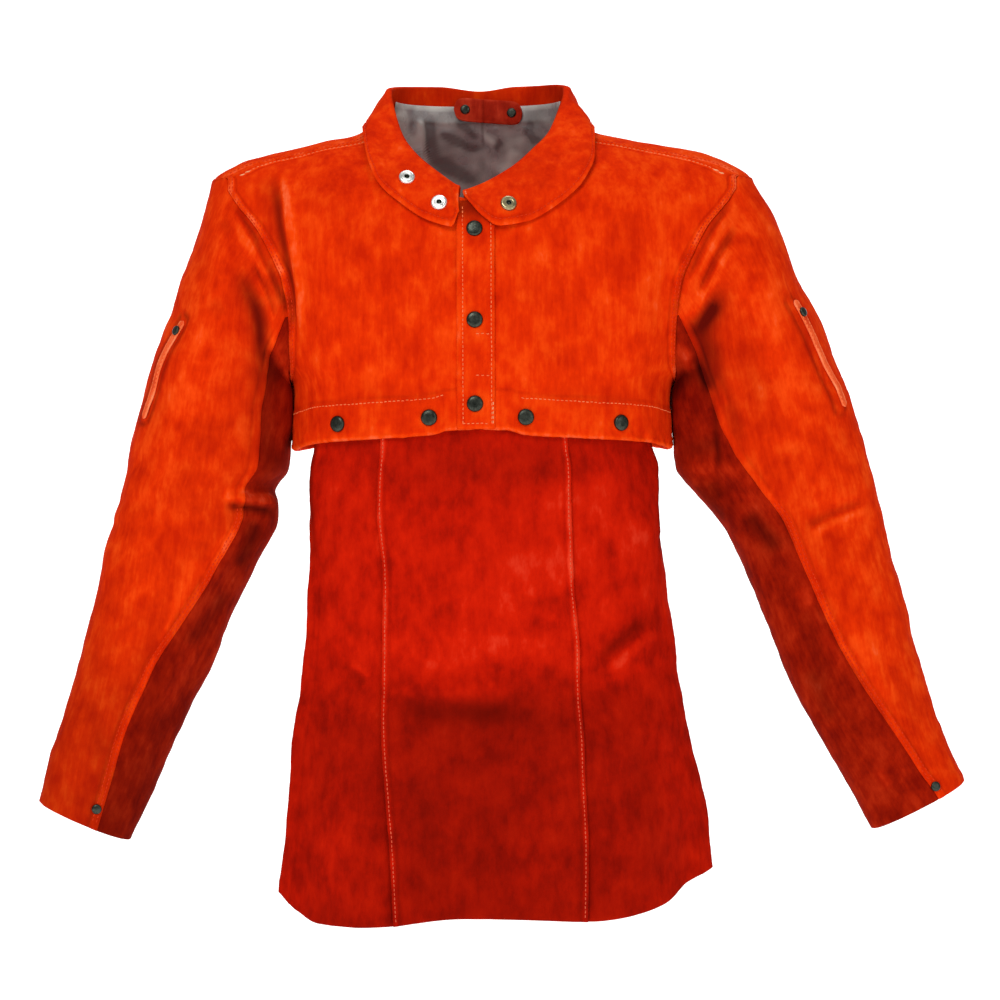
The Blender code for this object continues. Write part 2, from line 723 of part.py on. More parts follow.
def sleeve_point(name, ring, turn):
    """Point on a sleeve's outside. ring: -1 at the armhole. turn: degrees, 0 at the outer
    end, 90 at the front, 180 at the inner end."""
    side = -1 if name == "left" else 1
    if ring < 0:
        share = ring + 1
        return armhole_loop(side, turn) * (1 - share) + sleeve_point(name, 0, turn) * share
    drop, out, width, lean, deep, forward, _ = sleeve_ring(name, ring)
    lean, turn_rad = math.radians(lean), math.radians(turn)
    direction = np.array((math.cos(lean), 0, math.sin(lean)))
    inner = np.array((SIDE_HALF + SLEEVE_CLEAR + out * SLEEVE_REACH, 0, 0))
    inner[2] = -ARMHOLE_BOTTOM - drop * SLEEVE_DROP
    half = width * ARM_WIDTH / 2
    rise = ARM_FOLD * bumps(SLEEVE_FOLDS[name], ring, turn % 360)
    across = (half + rise) * signed_power(math.cos(turn_rad), 2 / ARM_POWER)
    ahead = (deep * ARM_DEPTH + rise) * signed_power(math.sin(turn_rad), 2 / ARM_POWER)
    point = inner + direction * (half + across)
    point[1] = -ahead - forward * ARM_FORWARD
    return point * (side, 1, 1)


def sleeve_normal(name, ring, turn):
    """Outward normal of a sleeve."""
    side = -1 if name == "left" else 1
    last = len(SLEEVES[name]) - 1
    ahead, behind = min(ring + 0.25, last), max(ring - 0.25, -1)
    along = sleeve_point(name, ahead, turn) - sleeve_point(name, behind, turn)
    around = sleeve_point(name, ring, turn + 3) - sleeve_point(name, ring, turn - 3)
    normal = unit(np.cross(around, along)) * side
    if ring < -0.5 and normal[0] * side > 0:
        normal = unit(normal * (0, 1, 1))
    return normal


def sleeve_panels(name):
    last = len(SLEEVES[name]) - 1
    rings = [-1, 0, 1, 2, 3] + [3.5 + 0.5 * i for i in range(8)] + list(range(8, last + 1))
    for panel, count in (("outer", 14), ("under", 6)):
        outer, inner = [], []
        for ring in rings:
            _, _, width, _, _, _, seam = sleeve_ring(name, max(ring, 0))
            margin = math.degrees(SEAM_GAP / (width * ARM_WIDTH))
            start, end = (-seam, seam) if panel == "outer" else (seam, 360 - seam)
            turns = np.linspace(start + margin, end - margin, count + 1)
            points = [sleeve_point(name, ring, turn) for turn in turns]
            normals = [sleeve_normal(name, ring, turn) for turn in turns]
            outer.append(points)
            inner.append([point - normal * LEATHER for point, normal in zip(points, normals)])
        shell(f"sleeve_{panel}_{name}", outer, inner, "sleeve_suede")


def strap_point(name, share, offset):
    """Point above a sleeve on the middle line of its strap, with the normal there."""
    (ring, turn), (last_ring, last_turn) = ARM_STRAPS[name]
    ring += (last_ring - ring) * share
    turn += (last_turn - turn) * share
    normal = sleeve_normal(name, ring, turn)
    return sleeve_point(name, ring, turn) + normal * offset, normal


def arm_strap(name):
    steps = 10
    outer, inner = [], []
    for i in range(steps + 1):
        share = i / steps
        half = STRAP_WIDTH / 2 * (0.55 if i in (0, steps) else 1)
        middle, normal = strap_point(name, share, LAYER_GAP)
        ahead, _ = strap_point(name, min(share + 0.05, 1), LAYER_GAP)
        behind, _ = strap_point(name, max(share - 0.05, 0), LAYER_GAP)
        across = unit(np.cross(normal, ahead - behind)) * half
        sunk = [middle - across, middle, middle + across]
        inner.append(sunk)
        outer.append([point + normal * LEATHER for point in sunk])
    shell(f"arm_strap_{name}", outer, inner, "strap_leather")


def bib_point(across, down, offset=0.0):
    """Point on the bib. across: -1 to 1 between its side edges. down: 0 to 1."""
    table = columns(BIB)
    left, right, body, deep = (smooth(table[0], column, down) for column in table[1:5])
    inset = 2 * LEATHER + LAYER_GAP / 2
    half = body * SIDE_HALF - inset
    deep = deep * FRONT_DEPTH - inset
    edge = (left if across < 0 else right) * BIB_HALF
    angle = across * math.asin(min(1, edge / half) ** (FORM_POWER / 2))
    hem = columns(BIB_HEM)
    length = BIB_DROP * (1 - smooth(hem[0], hem[1], across))
    offset += BIB_FOLD * bumps(BIB_FOLDS, across, down)
    x = half * signed_power(math.sin(angle), 2 / FORM_POWER)
    y = -deep * math.cos(angle) ** (2 / FORM_POWER)
    normal = unit(
        np.array(
            (signed_power(x / half, FORM_POWER - 1) / half, -(abs(y / deep) ** (FORM_POWER - 1)) / deep, 0)
        )
    )
    top = -CAPE_DROP + BIB_HIDDEN
    return np.array((x, y, top - down * length)) + normal * offset


def bib_seam(side, down):
    """Place of a seam of the bib, as a share of the way from its middle to a side edge."""
    table = columns(BIB)
    return smooth(table[0], table[5 if side < 0 else 6], down)


def bib():
    lap = math.radians(BIB_LAP_DEGREES)
    downs = (0, 0.03, 0.08, 0.14, 0.22, 0.31, 0.40, 0.48, 0.55, 0.62, 0.70, 0.79, 0.89, 1)
    centre, sides = [], {-1: [], 1: []}
    for down in downs:
        left, right = bib_seam(-1, down), bib_seam(1, down)
        centre.append([-left, lap - left, (lap - left) / 2, 0, (right - lap) / 2, right - lap, right])
        for side, seam in ((-1, left), (1, right)):
            sides[side].append([side * (seam - lap)] + list(side * np.linspace(seam, 1, 6)))
    below = -LEATHER - 2 * LAYER_GAP
    spans = (("centre", centre, 0.0), ("side_left", sides[-1], below), ("side_right", sides[1], below))
    for name, rows, level in spans:
        outer, inner = (
            [[bib_point(x, down, deep) for x in row] for row, down in zip(rows, downs)]
            for deep in (level, level - LEATHER)
        )
        shell(f"bib_{name}", outer, inner, "bib_suede")


def lining_start(z):
    """Angle where the lining begins at a height: behind the side of the neck and the armhole."""
    neck = math.radians(smooth((-0.01, 0.0, 0.015, 0.03, 0.05), (80, 82, 95, 108, 108), z))
    return max(neck, side_angle(z, True) + 0.14) if z < -ARMHOLE_TOP else neck


def lining_inset(z):
    """Depth of the lining's outer face below the cape's: more where the stand lies between."""
    low = LEATHER + 5 * LAYER_GAP
    return smooth((-0.05, 0.0, 0.02), (low, LINING_INSET, LINING_INSET), z)


def lining():
    levels = [LINING_TOP, 0.042, 0.034, 0.026, 0.016, 0.006, -0.006, -0.020]
    levels += [z for z in armhole_levels(True)[::2] if -LINING_DROP < z]
    outer, inner = [], []
    for z in levels:
        start = lining_start(z)
        turns = np.linspace(start, 2 * math.pi - start, 15)
        inset = lining_inset(z)
        outer.append([inside_point(turn, z, inset) for turn in turns])
        inner.append([inside_point(turn, z, inset + SATIN) for turn in turns])
    shell("lining", outer, inner, "grey_satin")


def hanger_tab():
    inset = LINING_INSET + SATIN + 3 * LAYER_GAP
    shares = (0, 0.18, 0.36, 0.44, 0.5)
    heights_at = {0: 1, 0.18: 1, 0.36: 1, 0.44: 0.85, 0.5: 0.45}
    outer, inner = [], []
    for share in [-share for share in shares[:0:-1]] + list(shares):
        x = TAB_MIDDLE + share * TAB_LENGTH
        tilt = -share * TAB_HEIGHT * 0.25
        half = heights_at[abs(share)] * TAB_HEIGHT / 2
        levels = [TAB_LEVEL + tilt + half * up for up in (1, 0, -1)]
        turns = [form_angle(x, z, back=True) for z in levels]
        outer.append([inside_point(turn, z, inset) for turn, z in zip(turns, levels)])
        inner.append([inside_point(turn, z, inset + LEATHER) for turn, z in zip(turns, levels)])
    shell("hanger_tab", outer, inner, "tab_leather")


def stud_mesh(name, radius, height, socket):
    """Turned cap of a press stud, its flat base at z = 0; a socket has a hole in its top."""
    profile = [(1.0, 0.0), (1.0, 0.35), (0.82, 0.85), (0.45, 1.0)]
    if socket:
        profile += [(0.34, 0.9), (0.30, 0.3)]
    bm = bmesh.new()
    rings = []
    for out, up in profile:
        ring = []
        for i in range(STUD_SIDES):
            turn = 2 * math.pi * i / STUD_SIDES
            ring.append(
                bm.verts.new(
                    (radius * out * math.cos(turn), radius * out * math.sin(turn), height * up)
                )
            )
        rings.append(ring)
    for low, high in zip(rings, rings[1:]):
        for i in range(STUD_SIDES):
            j = (i + 1) % STUD_SIDES
            bm.faces.new((low[i], low[j], high[j], high[i]))
    bm.faces.new(rings[0][::-1])
    bm.faces.new(rings[-1])
    bmesh.ops.recalc_face_normals(bm, faces=bm.faces)
    mesh = bpy.data.meshes.new(name)
    bm.to_mesh(mesh)
    bm.free()
    return mesh


def surface_of(name):
    """Search tree of the faces of an object."""
    mesh = bpy.data.objects[name].data
    points = [vertex.co.copy() for vertex in mesh.vertices]
    return BVHTree.FromPolygons(points, [tuple(face.vertices) for face in mesh.polygons])


def stud(name, carrier, point, normal, small=False, socket=False):
    """A press stud whose base rests LAYER_GAP above the faces of its carrier."""
    radius = SMALL_STUD_RADIUS if small else STUD_RADIUS
    height = SMALL_STUD_HEIGHT if small else STUD_HEIGHT
    point, normal = Vector(point), Vector(normal).normalized()
    turn = normal.to_track_quat("Z", "Y")
    surface = surface_of(carrier)
    highest = None
    for out in (0.0, 0.5, 1.0):
        for i in range(STUD_SIDES):
            angle = 2 * math.pi * i / STUD_SIDES
            offset = turn @ Vector((radius * out * math.cos(angle), radius * out * math.sin(angle), 0))
            hit = surface.ray_cast(point + offset + normal * 0.02, -normal, 0.05)
            if hit[0] is not None:
                rise = (hit[0] - point).dot(normal)
                highest = rise if highest is None else max(highest, rise)
    mesh = stud_mesh(name, radius, height, socket)
    made = piece(name, mesh, "bright_metal" if socket else "dark_metal")
    made.rotation_mode = "QUATERNION"
    made.rotation_quaternion = turn
    made.location = point + normal * ((highest or 0.0) + LAYER_GAP)


def front_normal(x, z):
    return on_front(x, z, 0.01) - on_front(x, z)


def cape_studs():
    for i, share in enumerate(PLACKET_STUDS, 1):
        z = -share * CAPE_DROP
        point, normal = on_front(PLACKET_STUD_OUT, z), front_normal(PLACKET_STUD_OUT, z)
        stud(f"placket_stud_{i}", "placket", point, normal)
    for i, share in enumerate(HEM_STUDS, 1):
        x = share * SIDE_HALF
        point = on_front(x, -CAPE_DROP)
        point[2] += HEM_STUD_RISE
        carrier = "cape_front_left" if x < 0 else "cape_front_right"
        stud(f"hem_stud_{i}", carrier, point, front_normal(x, -CAPE_DROP))


def collar_studs():
    for i, (station, share) in enumerate(COLLAR_STUDS, 1):
        section = collar_section(station)
        beside = collar_section(station + 0.1)
        index = share * 4
        j = int(index)
        point = section[j] + (section[j + 1] - section[j]) * (index - j)
        normal = np.cross(beside[1] - section[1], section[0] - section[3])
        stud(f"collar_stud_{i}", "collar", point, normal, socket=True)


def tab_studs():
    for i, share in enumerate(TAB_STUDS, 1):
        x = TAB_MIDDLE + share * TAB_LENGTH
        z = TAB_LEVEL - share * TAB_HEIGHT * 0.25
        turn = form_angle(x, z, back=True)
        point = inside_point(turn, z, 0.02)
        normal = point - inside_point(turn, z, 0)
        stud(f"tab_stud_{i}", "hanger_tab", point, normal, small=True)


def sleeve_studs(name):
    point, normal = strap_point(name, 0.12, LEATHER)
    stud(f"arm_stud_{name}", f"arm_strap_{name}", point, normal, small=True)
    ring, turn = CUFF_STUDS[name]
    point, normal = sleeve_point(name, ring, turn), sleeve_normal(name, ring, turn)
    seam = sleeve_ring(name, ring)[-1]
    panel = "outer" if turn < seam else "under"
    stud(f"cuff_stud_{name}", f"sleeve_{panel}_{name}", point, normal, small=True)


def main():
    for old in list(bpy.data.objects):
        bpy.data.objects.remove(old)
    root = bpy.data.objects.new("welding_cape_sleeve", None)
    bpy.context.scene.collection.objects.link(root)
    cape_fronts()
    cape_back()
    placket()
    collar()
    lining()
    hanger_tab()
    bib()
    for name in ("left", "right"):
        sleeve_panels(name)
        arm_strap(name)
        sleeve_studs(name)
    cape_studs()
    collar_studs()
    tab_studs()


main()
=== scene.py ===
"""Looks of the welding cape sleeve. Every soft piece repeats the form of its CAD solid from
the same values, in finer grids, and adds folds, felled seams, stitching and suede. Metres,
+Z up, the front faces -Y. Left and right are the viewer's."""

import math

import bmesh
import bpy
import numpy as np
from mathutils import Matrix, Vector
from mathutils.bvhtree import BVHTree


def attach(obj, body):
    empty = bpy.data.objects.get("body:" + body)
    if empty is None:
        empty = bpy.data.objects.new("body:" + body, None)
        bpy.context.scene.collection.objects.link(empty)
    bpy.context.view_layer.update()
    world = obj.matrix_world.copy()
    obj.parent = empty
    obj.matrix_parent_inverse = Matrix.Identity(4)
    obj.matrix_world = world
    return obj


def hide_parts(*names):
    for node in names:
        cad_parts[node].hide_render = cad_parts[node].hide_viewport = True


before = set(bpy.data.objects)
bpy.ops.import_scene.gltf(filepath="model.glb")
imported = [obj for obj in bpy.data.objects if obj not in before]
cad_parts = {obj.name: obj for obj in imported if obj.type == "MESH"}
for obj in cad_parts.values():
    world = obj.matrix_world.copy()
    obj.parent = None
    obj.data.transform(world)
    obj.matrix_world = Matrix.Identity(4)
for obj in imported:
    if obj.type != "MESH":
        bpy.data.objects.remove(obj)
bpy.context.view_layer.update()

# Walls and clearances
LEATHER = 0.0022
SATIN = 0.0012
LAYER_GAP = 0.0005
SEAM_GAP = 0.0008

# Cape
SHOULDER_HALF = 0.2655
SIDE_HALF = 0.1845
FRONT_DEPTH = 0.125
BACK_DEPTH = 0.112
FORM_POWER = 2.6
NECK_HALF = 0.090
NECK_DEPTH = 0.085
NECK_RISE = 0.066
NECK_FALL = 0.062
ARMHOLE_TOP = 0.033
ARMHOLE_BOTTOM = 0.235
ARMHOLE_MIDDLE = (0.225, 0.0, -0.13)
CAPE_DROP = 0.292
SEAM_DROP = 0.012
HEM_BAND = 0.037
CAPE_FOLD = 0.004
PLACKET_LEFT = 0.0195
PLACKET_RIGHT = 0.0155
PLACKET_TOP = 0.064
PLACKET_TACKS = (-0.192, -0.232)

# Collar
COLLAR_DROP = 0.088
COLLAR_BULGE = 0.005
FOLD_RADIUS = 0.003
STAND_LAP = 0.004

# Sleeves
SLEEVE_CLEAR = 0.003
SLEEVE_DROP = 0.450
SLEEVE_REACH = 0.180
ARM_WIDTH = 0.160
ARM_DEPTH = 0.075
ARM_FORWARD = 0.050
ARM_POWER = 2.2
ARM_FOLD = 0.010
STRAP_WIDTH = 0.0095
SHOULDER_LET_OUT = 0.0085
SIDES = {"left": -1, "right": 1}

# Bib
BIB_HIDDEN = 0.030
BIB_DROP = 0.495
BIB_HALF = 0.180
BIB_FOLD = 0.012
BIB_LAP_DEGREES = 3.5

# Lining and hanger tab
LINING_TOP = 0.050
LINING_DROP = 0.150
LINING_INSET = 0.0090
LINING_SEAM = 0.0045
TAB_LENGTH = 0.074
TAB_HEIGHT = 0.023
TAB_LEVEL = 0.0450
TAB_MIDDLE = 0.0113
TAB_SEAM = 0.0062

# Press studs
STUD_RADIUS = 0.0078
STUD_HEIGHT = 0.0034
SMALL_STUD_RADIUS = 0.0048
SMALL_STUD_HEIGHT = 0.0024
STUD_SIDES = 36

# Stitches: each a thread of rings, whose row is shift along it, thickness and rise
STITCH_LENGTH = 0.0029
STITCH_PITCH = 0.0042
STITCH_RADIUS = 0.00052
STITCH_SIDES = 5
STITCH_RINGS = ((-0.5, 0.5, -0.5), (-0.32, 1, 0.35), (0.32, 1, 0.35), (0.5, 0.5, -0.5))
# Distances of the rows of stitches from the panels' edges, and where the armhole's band ends
HEM_ROW = HEM_BAND - 0.003
SEAM_ROWS = (0.0022, 0.0062)
SLEEVE_ROWS = (0.0024, 0.0064)
BIB_ROW = 0.0024
BAND_EDGE = (0.0082, 0.0066)

# Photograph's view: a level camera that looks along +Y
VIEW_X = 0.0205
VIEW_Z = -0.35
VIEW_DISTANCE = 3.0
VIEW_TILT = 0.018
STANDPOINT = (VIEW_X, -VIEW_DISTANCE, VIEW_Z - 0.002)
# name, place, target, size, power
LIGHTS = (
    ("key", (-1.0, -2.6, 1.9), (0, 0, -0.35), 1.5, 54),
    ("fill", (2.2, -2.4, 0.4), (0, 0, -0.35), 2.0, 16),
    ("top", (0.2, 0.3, 2.2), (0, 0, -0.1), 1.2, 16),
)

# level, out, front, back
SHOULDERS = (
    (1.00, 0.020, 0.120, 0.714), (0.53, 0.045, 0.136, 0.696), (0.41, 0.077, 0.144, 0.741),
    (0.30, 0.114, 0.160, 0.786), (0.20, 0.182, 0.190, 0.821), (0.09, 0.353, 0.290, 0.857),
    (-0.06, 0.570, 0.400, 0.893), (-0.27, 0.741, 0.464, 0.911), (-0.50, 0.855, 0.530, 0.929),
    (-1.00, 0.990, 0.650, 0.955),
)
# down, out, front, back
TRUNK = (
    (0.05, 1.000, 0.708, 0.965), (0.13, 0.968, 0.784, 0.982), (0.27, 0.809, 0.856, 0.991),
    (0.40, 0.623, 0.904, 1.000), (0.54, 0.463, 0.936, 0.991), (0.68, 0.340, 0.960, 0.982),
    (0.83, 0.228, 0.976, 0.973), (0.93, 0.142, 0.984, 0.964), (1.00, 0.031, 0.988, 0.955),
    (1.07, 0.000, 0.992, 0.946), (1.40, 0.000, 1.000, 0.938),
)
# out, level
NECK_FRONT = (
    (0.00, -1.00), (0.33, -0.90), (0.61, -0.66), (0.83, -0.32), (0.98, 0.00), (1.09, 0.20),
    (1.11, 0.30), (1.15, 0.41),
)
NECK_BACK = ((1.15, 0.41), (1.00, 0.455), (0.67, 0.50), (0.00, 0.53))
# down, out
ARMHOLE_FRONT = (
    (0.067, 1.331), (0.147, 1.271), (0.250, 1.179), (0.381, 1.103), (0.525, 1.043), (0.666, 1.022),
    (0.827, 1.011), (0.936, 1.008), (1.000, 1.014),
)
ARMHOLE_BACK = (
    (0.184, 1.308), (0.250, 1.274), (0.381, 1.203), (0.525, 1.138), (0.666, 1.095), (0.827, 1.057),
    (0.936, 1.033), (1.000, 1.014),
)
# out, down
HEM = ((0.00, 0.969), (0.16, 0.972), (0.24, 0.986), (0.54, 0.998), (0.87, 1.010), (1.00, 1.029))
# out, down, breadth, height, rise
CAPE_FOLDS = (
    (-0.97, 0.52, 0.10, 0.34, -0.9), (-0.80, 0.45, 0.09, 0.40, 0.7), (0.95, 0.55, 0.10, 0.30, -0.8),
    (0.76, 0.48, 0.10, 0.36, 0.6), (-0.45, 0.55, 0.16, 0.30, 0.4), (0.42, 0.62, 0.18, 0.24, -0.4),
)
# fold_x, fold_y, fold_z, edge_x, edge_z, side, neck_x, neck_z, lift
COLLAR = (
    (-0.193, -0.99, -0.704, -0.20, -0.853, -1, -0.21, -0.97, 0.0065),
    (-0.237, -1.00, -0.68, -0.285, -1.015, -1, -0.24, -0.95, 0.0060),
    (-0.457, -0.905, -0.455, -0.542, -0.932, -1, -0.53, -0.74, 0.0045),
    (-0.690, -0.71, -0.165, -0.854, -0.719, -1, -0.78, -0.42, 0.0040),
    (-0.859, -0.42, 0.183, -1.072, -0.508, -1, -0.96, -0.05, 0.0050),
    (-0.958, -0.09, 0.645, -1.205, -0.180, -1, -1.09, 0.24, 0.0055),
    (-0.985, 0.10, 0.82, -1.250, 0.150, -1, -1.14, 0.40, 0.0070),
    (-0.985, 0.29, 0.96, -1.245, 0.155, 1, -1.11, 0.45, 0.0070),
    (-0.81, 0.71, 1.06, -1.03, 0.151, 1, -0.91, 0.50, 0.0040),
    (-0.44, 0.91, 1.09, -0.56, 0.142, 1, -0.50, 0.55, 0.0040),
    (0.02, 0.95, 1.025, 0.00, 0.142, 1, 0.00, 0.56, 0.0040),
    (0.44, 0.91, 1.09, 0.56, 0.142, 1, 0.50, 0.55, 0.0040),
    (0.81, 0.71, 1.08, 1.03, 0.151, 1, 0.91, 0.50, 0.0040),
    (0.985, 0.29, 0.98, 1.255, 0.155, 1, 1.11, 0.45, 0.0065),
    (0.975, 0.09, 0.82, 1.265, 0.150, -1, 1.14, 0.40, 0.0060),
    (0.93, -0.12, 0.61, 1.270, -0.195, -1, 1.09, 0.23, 0.0060),
    (0.79, -0.47, 0.16, 1.140, -0.502, -1, 0.93, -0.10, 0.0050),
    (0.625, -0.66, -0.09, 0.848, -0.775, -1, 0.76, -0.45, 0.0040),
    (0.42, -0.82, -0.355, 0.526, -0.956, -1, 0.50, -0.77, 0.0045),
    (0.152, -0.98, -0.60, 0.238, -1.008, -1, 0.19, -0.975, 0.0060),
    (0.033, -1.005, -0.682, 0.067, -0.913, -1, 0.04, -1.00, 0.0065),
    (-0.085, -1.02, -0.747, -0.061, -0.779, -1, -0.09, -0.99, 0.0065),
    (-0.150, -1.02, -0.775, -0.137, -0.679, -1, -0.14, -0.98, 0.0065),
)
# drop, out, width, lean, depth, forward, seam
SLEEVES = {
    "left": (
        (0.017, 0.000, 1.256, 65.3, 1.00, 0.00, 126), (0.037, 0.000, 1.117, 56.4, 1.00, 0.00, 126),
        (0.066, 0.000, 0.963, 38.2, 0.99, 0.01, 127), (0.104, 0.000, 0.946, 17.9, 0.96, 0.03, 128),
        (0.188, 0.011, 0.999, 6.1, 0.92, 0.08, 129), (0.243, 0.089, 0.976, -1.9, 0.88, 0.12, 129),
        (0.294, 0.083, 1.013, -1.4, 0.86, 0.16, 128), (0.409, 0.200, 0.941, 5.2, 0.80, 0.28, 122),
        (0.508, 0.318, 0.864, 3.9, 0.74, 0.40, 113), (0.640, 0.455, 0.792, 6.0, 0.68, 0.56, 100),
        (0.752, 0.592, 0.732, 7.9, 0.62, 0.72, 99), (0.885, 0.742, 0.668, 17.2, 0.56, 0.88, 104),
        (0.997, 0.866, 0.606, 23.4, 0.50, 1.00, 108),
    ),
    "right": (
        (0.019, 0.000, 1.293, 63.6, 1.00, 0.00, 126), (0.041, 0.000, 1.188, 54.6, 1.00, 0.00, 125),
        (0.074, 0.000, 1.116, 43.3, 0.99, 0.01, 123), (0.130, 0.000, 1.117, 29.2, 0.96, 0.03, 120),
        (0.188, 0.011, 1.154, 19.6, 0.92, 0.07, 114), (0.251, 0.128, 1.093, 8.5, 0.89, 0.12, 108),
        (0.312, 0.267, 1.003, 4.0, 0.85, 0.17, 105), (0.424, 0.433, 0.909, 4.1, 0.80, 0.27, 104),
        (0.498, 0.500, 0.901, 2.9, 0.76, 0.36, 102), (0.577, 0.575, 0.864, 2.3, 0.72, 0.46, 98),
        (0.688, 0.692, 0.816, 2.4, 0.66, 0.62, 90), (0.802, 0.852, 0.726, 6.8, 0.60, 0.78, 83),
        (0.890, 0.970, 0.680, 12.2, 0.56, 0.90, 77), (0.980, 1.088, 0.650, 27.0, 0.50, 1.00, 72),
    ),
}
# along, round, length, breadth, rise
SLEEVE_FOLDS = {
    "left": (
        (1.6, 92, 1.3, 18, -0.9), (2.2, 62, 1.5, 16, 0.5), (4.6, 160, 0.5, 30, -0.7),
        (5.5, 150, 0.5, 26, 0.5), (7.3, 145, 1.2, 22, -0.5), (8.4, 112, 2.0, 12, 0.4),
        (9.5, 150, 1.6, 26, -0.6),
    ),
    "right": (
        (1.6, 95, 1.3, 18, -0.8), (2.4, 60, 1.5, 16, 0.5), (4.2, 140, 1.2, 16, -0.8),
        (5.0, 104, 0.7, 14, 0.6), (6.2, 60, 0.5, 26, -0.5), (6.8, 96, 0.8, 16, 0.5),
        (8.8, 130, 1.8, 26, -0.5), (10.4, 84, 2.2, 12, 0.4),
    ),
}
ARM_STRAPS = {"left": ((1.87, 47), (3.48, 30)), "right": ((2.04, 39), (4.04, 28))}
# down, left, right, body, depth, left_seam, right_seam
BIB = (
    (0.00, 0.955, 0.975, 1.000, 0.988, 0.370, 0.285),
    (0.08, 0.938, 0.982, 1.000, 0.992, 0.380, 0.288),
    (0.13, 0.960, 1.012, 1.030, 0.995, 0.383, 0.290),
    (0.20, 0.972, 1.022, 1.050, 0.998, 0.385, 0.292),
    (0.34, 0.930, 1.026, 1.060, 1.005, 0.395, 0.303),
    (0.46, 0.942, 1.064, 1.090, 1.010, 0.400, 0.310),
    (0.58, 0.975, 1.098, 1.140, 1.020, 0.385, 0.308),
    (0.70, 1.026, 1.155, 1.190, 1.035, 0.350, 0.290),
    (0.86, 1.056, 1.258, 1.290, 1.055, 0.318, 0.270),
    (1.00, 1.104, 1.290, 1.340, 1.070, 0.285, 0.265),
)
# across, rise
BIB_HEM = (
    (-1.00, 0.052), (-0.88, 0.018), (-0.67, -0.004), (-0.34, -0.007), (0.00, 0.008), (0.28, 0.003),
    (0.44, 0.011), (0.62, 0.030), (0.78, 0.061), (1.00, 0.088),
)
# across, down, breadth, height, rise
BIB_FOLDS = (
    (-0.46, 1.05, 0.16, 0.40, 1.0), (-0.12, 1.05, 0.16, 0.36, -0.6), (0.36, 1.05, 0.20, 0.40, 0.9),
    (0.78, 1.05, 0.14, 0.36, -0.7), (-0.86, 1.00, 0.12, 0.34, -0.6),
    (-0.10, 0.52, 0.55, 0.07, -0.5), (0.30, 0.66, 0.45, 0.06, 0.4), (-0.60, 0.34, 0.20, 0.12, 0.3),
    (0.62, 0.40, 0.20, 0.12, 0.3),
)
# across, down, breadth, height, change of tone: a painted highlight where it rises and painted
# shade where it falls, as under the cape's hem
BIB_SHADES = (
    (0.10, 0.34, 0.42, 0.14, 0.08), (0.10, 0.11, 0.55, 0.06, -0.20), (0.48, 0.16, 0.16, 0.10, 0.12),
    (-0.42, 0.14, 0.12, 0.06, 0.08), (-0.30, 0.90, 0.30, 0.10, 0.06),
)
# Steps of the armhole's edge, front and back
FRONT_STEPS = 8
BACK_STEPS = 12
# Rows of a cape panel beside the shoulder, the armhole and the hem
FRONT_ROWS = (30, 72, 22)
BACK_ROWS = (34, 84, 22)
# Columns of the collar's fall
COLLAR_FALL = 26

# Creases in the photograph's view: half width, rise in millimetres, kind, and the line of the
# crease from one end to the other as x, y pairs, all places in thousandths of the photograph's
# width. A fold is low on the left of its line and high on the right, a ridge is high on its
# line, and both also paint shade into the colour where they are low and a highlight where they
# are high. A shade only paints shade into the tone by its rise, and a highlight where its rise
# is positive.
CAPE_CREASES = (
    (6, 2.8, "fold", 280, 170, 283, 200, 286, 230, 289, 249, 292, 267, 296, 290, 299, 345),
    (4, -0.22, "shade", 271, 172, 277, 211, 280, 230, 283, 249, 286, 267, 290, 292, 293, 345),
    (9, -0.14, "shade", 266, 176, 268, 205, 272, 235, 279, 262),
    (5, -0.45, "shade", 700, 240, 690, 260, 686, 274, 681, 291, 678, 309, 676, 335, 674, 375),
    (3, -0.22, "shade", 285, 288, 290, 310, 293, 345, 294, 395),
    (12, 0.9, "ridge", 300, 200, 304, 250, 303, 310, 306, 370),
    (14, -0.8, "ridge", 330, 165, 345, 215, 352, 270),
    (12, 1.2, "ridge", 672, 200, 656, 250, 650, 310, 650, 370),
    (16, -0.8, "ridge", 640, 175, 622, 230, 610, 300),
    (18, -0.7, "ridge", 400, 250, 388, 320, 395, 390),
    (18, -0.7, "ridge", 545, 240, 560, 310, 552, 380),
    (10, -0.6, "ridge", 350, 392, 420, 398, 455, 388),
    (10, -0.6, "ridge", 530, 388, 600, 398, 650, 396),
)
